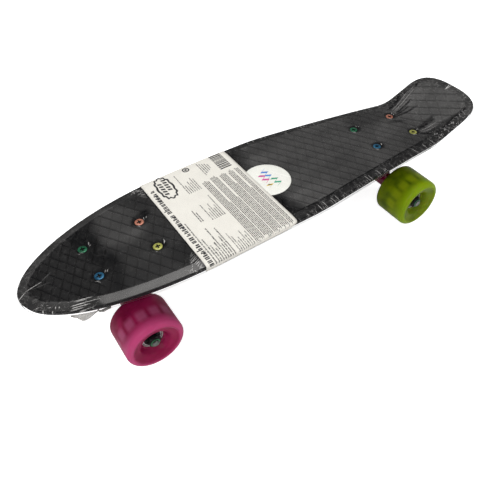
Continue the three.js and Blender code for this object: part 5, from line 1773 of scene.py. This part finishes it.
def make_wheel(end, side):
    truck_x, outwards = TRUCKS[end]
    across = SIDES[side]
    name = f"{end}_{side}"
    centre = Vector((truck_x + outwards * AXLE_OFFSET, across * WHEEL_Y, WHEEL_RADIUS))
    out = (0, across, 0)
    body = name + "_wheel"
    half = wheel_profile()
    mirrored = [(r, -y) for r, y in half[::-1][1:]]
    inside = [(19.6, -12.4), (19.6, 12.4)]
    profile = half + mirrored + inside

    def add(piece, shape, material, rides_on, *nodes, sharp=35):
        full = f"{piece}_{name}"
        return add_object(full, mesh_from(full, *shape, sharp), material, rides_on, *nodes)

    shades = WHEEL_SHADES[end]
    cast = urethane(f"{shades[0]}_{name}", shades[0], *shades[1:], centre, across)
    add("wheel", lathe(profile, 96, centre, out), cast, body, "tyre_" + name, sharp=60)
    seat = 11.35
    core = [(19.3, -CORE_HALF), (19.3, CORE_HALF), (seat, CORE_HALF), (seat, SPACER_HALF),
            (7.6, SPACER_HALF), (7.6, -SPACER_HALF), (seat, -SPACER_HALF), (seat, -CORE_HALF)]
    add("light_hub", lathe(ring_profile(core, 0.4), 64, centre, out), core_plastic, body,
        "light_core_" + name)
    for place, sign in (("outer", 1), ("inner", -1)):
        start = sign * (SPACER_HALF + FIT)
        stop = start + sign * BEARING
        races = []
        for low, high in ((AXLE_RADIUS + 0.15, 5.9), (9.3, 11)):
            ring = ring_profile([(low, start), (high, start), (high, stop), (low, stop)], 0.3, 2)
            races.append(lathe(ring, 64, centre, out))
        plate = ((6.0, 0.6), (9.2, 0.6), (9.2, 6.3), (8.6, 6.6), (6.6, 6.6), (6.0, 6.3))
        shield = ring_profile([(radius, start + sign * along) for radius, along in plate], 0.2, 2)
        add(f"races_{place}", merged(*races), bearing_steel, body, f"bearing_{name}_{place}")
        add(f"shield_{place}", lathe(shield, 64, centre, out), shield_black, body)
    tube = ring_profile([(AXLE_RADIUS + 0.15, -SPACER_HALF), (6.4, -SPACER_HALF), (6.4, SPACER_HALF),
                         (AXLE_RADIUS + 0.15, SPACER_HALF)], 0.4)
    hanger = end + "_hanger"
    add("magnet_sleeve", lathe(tube, 48, centre, out), black_steel, hanger, "spacer_" + name)
    face = centre + Vector(out) * (CORE_HALF + FIT + WASHER_ROOM)
    nut = hex_nut(face, out, 7.4, 4.6, AXLE_RADIUS + 0.1, collar=1.2, washer=(7.6, 0.95))
    add("axle_locknut", nut, black_steel, hanger, "axle_nut_" + name)
    insert = ring_profile([(AXLE_RADIUS + 0.05, 4.9), (5.1, 4.9), (5.1, 5.95),
                           (AXLE_RADIUS + 0.05, 5.95)], 0.2)
    add("nylon_insert", lathe(insert, 32, face, out), nylon_green, hanger)


WHEEL_SHADES = {  # slot, the cast's deep and middle shade, the paler shade painted as light along the outer shoulder, and the glow of the core's blocks
    "front": ("wheel_pink", (0.15, 0.003, 0.03), (0.27, 0.01, 0.065), (0.45, 0.058, 0.17),
              (0.36, 0.08, 0.17)),
    "rear": ("wheel_green", (0.06, 0.095, 0.002), (0.14, 0.19, 0.001), (0.2, 0.3, 0.003),
             (0.22, 0.28, 0.006)),
}
for end in TRUCKS:
    for side in SIDES:
        make_wheel(end, side)


# ---- Studio ----


def area_light(name, place, target, size, power):
    light = bpy.data.lights.new(name, "AREA")
    light.shape = "RECTANGLE"
    light.size, light.size_y = size
    light.energy = power
    lamp = linked(name, light)
    lamp.location = place
    lamp.rotation_euler = (Vector(target) - Vector(place)).to_track_quat("-Z", "Y").to_euler()


def pale_world(strength):
    """A soft white room. The camera sees plain white, and glossy rays a ceiling that darkens overhead."""
    world = bpy.data.worlds.new("room")
    bpy.context.scene.world = world
    world.use_nodes = True
    background = world.node_tree.nodes["Background"]
    background.inputs["Color"].default_value = (1, 1, 1, 1)
    n = Nodes(world.node_tree)
    rays = n.add("ShaderNodeLightPath")
    split = n.add("ShaderNodeSeparateXYZ")
    n.feed(split.inputs[0], n.add("ShaderNodeTexCoord").outputs["Generated"])
    ceiling = n.span(split.outputs["Z"], 0.2, 0.85, 0.3, 0.06)
    level = n.span(rays.outputs["Is Glossy Ray"], 0, 1, strength, ceiling)
    level = n.span(rays.outputs["Is Camera Ray"], 0, 1, level, 1)
    n.feed(background.inputs["Strength"], level)


def pale_floor():
    """A white floor that keeps the board's soft shadow."""
    mesh = bpy.data.meshes.new("floor")
    far = 40.0
    mesh.from_pydata([(-far, -far, 0), (far, -far, 0), (far, far, 0), (-far, far, 0)], [], [(0, 1, 2, 3)])
    floor = linked("floor", mesh)
    floor.location.z = -0.0002
    n = Finish("floor_white", "none")
    diffuse = n.add("ShaderNodeBsdfDiffuse")
    diffuse.inputs["Color"].default_value = (0.86, 0.86, 0.86, 1)
    glow = n.add("ShaderNodeEmission")
    path = n.add("ShaderNodeLightPath")
    n.feed(glow.inputs["Strength"], n.times(path.outputs["Is Camera Ray"], FLOOR_GLOW))
    both = n.add("ShaderNodeAddShader")
    n.feed(both.inputs[0], diffuse.outputs[0])
    n.feed(both.inputs[1], glow.outputs[0])
    mesh.materials.append(n.surface(both.outputs[0]))


FLOOR_GLOW = 0.8
pale_world(0.45)
pale_floor()
area_light("key", (-1.1, -0.7, 1.4), (-0.1, 0, 0.08), (1.1, 1.1), 18)
area_light("fill", (0.7, -1.3, 0.9), (0.1, 0, 0.05), (0.9, 0.9), 6)
area_light("top", (0.1, 0.5, 1.7), (0, 0, 0.08), (0.8, 0.8), 8)


def make_camera():
    """The viewpoint of the photograph: high over the nose's left side, looking along the board."""
    lens = bpy.data.cameras.new("camera")
    lens.lens = 37.485
    lens.sensor_width = 36
    camera = linked("camera", lens)
    azimuth, elevation, distance = -0.595934, 0.822567, 0.50844
    target = Vector((-0.0812, -0.0741, 0.1028))
    back = Vector((math.sin(azimuth) * math.cos(elevation), -math.cos(azimuth) * math.cos(elevation),
                   math.sin(elevation)))
    camera.location = target + back * distance
    camera.rotation_euler = back.to_track_quat("Z", "Y").to_euler()
    bpy.context.scene.camera = camera


make_camera()
bpy.context.scene.view_settings.view_transform = "Standard"
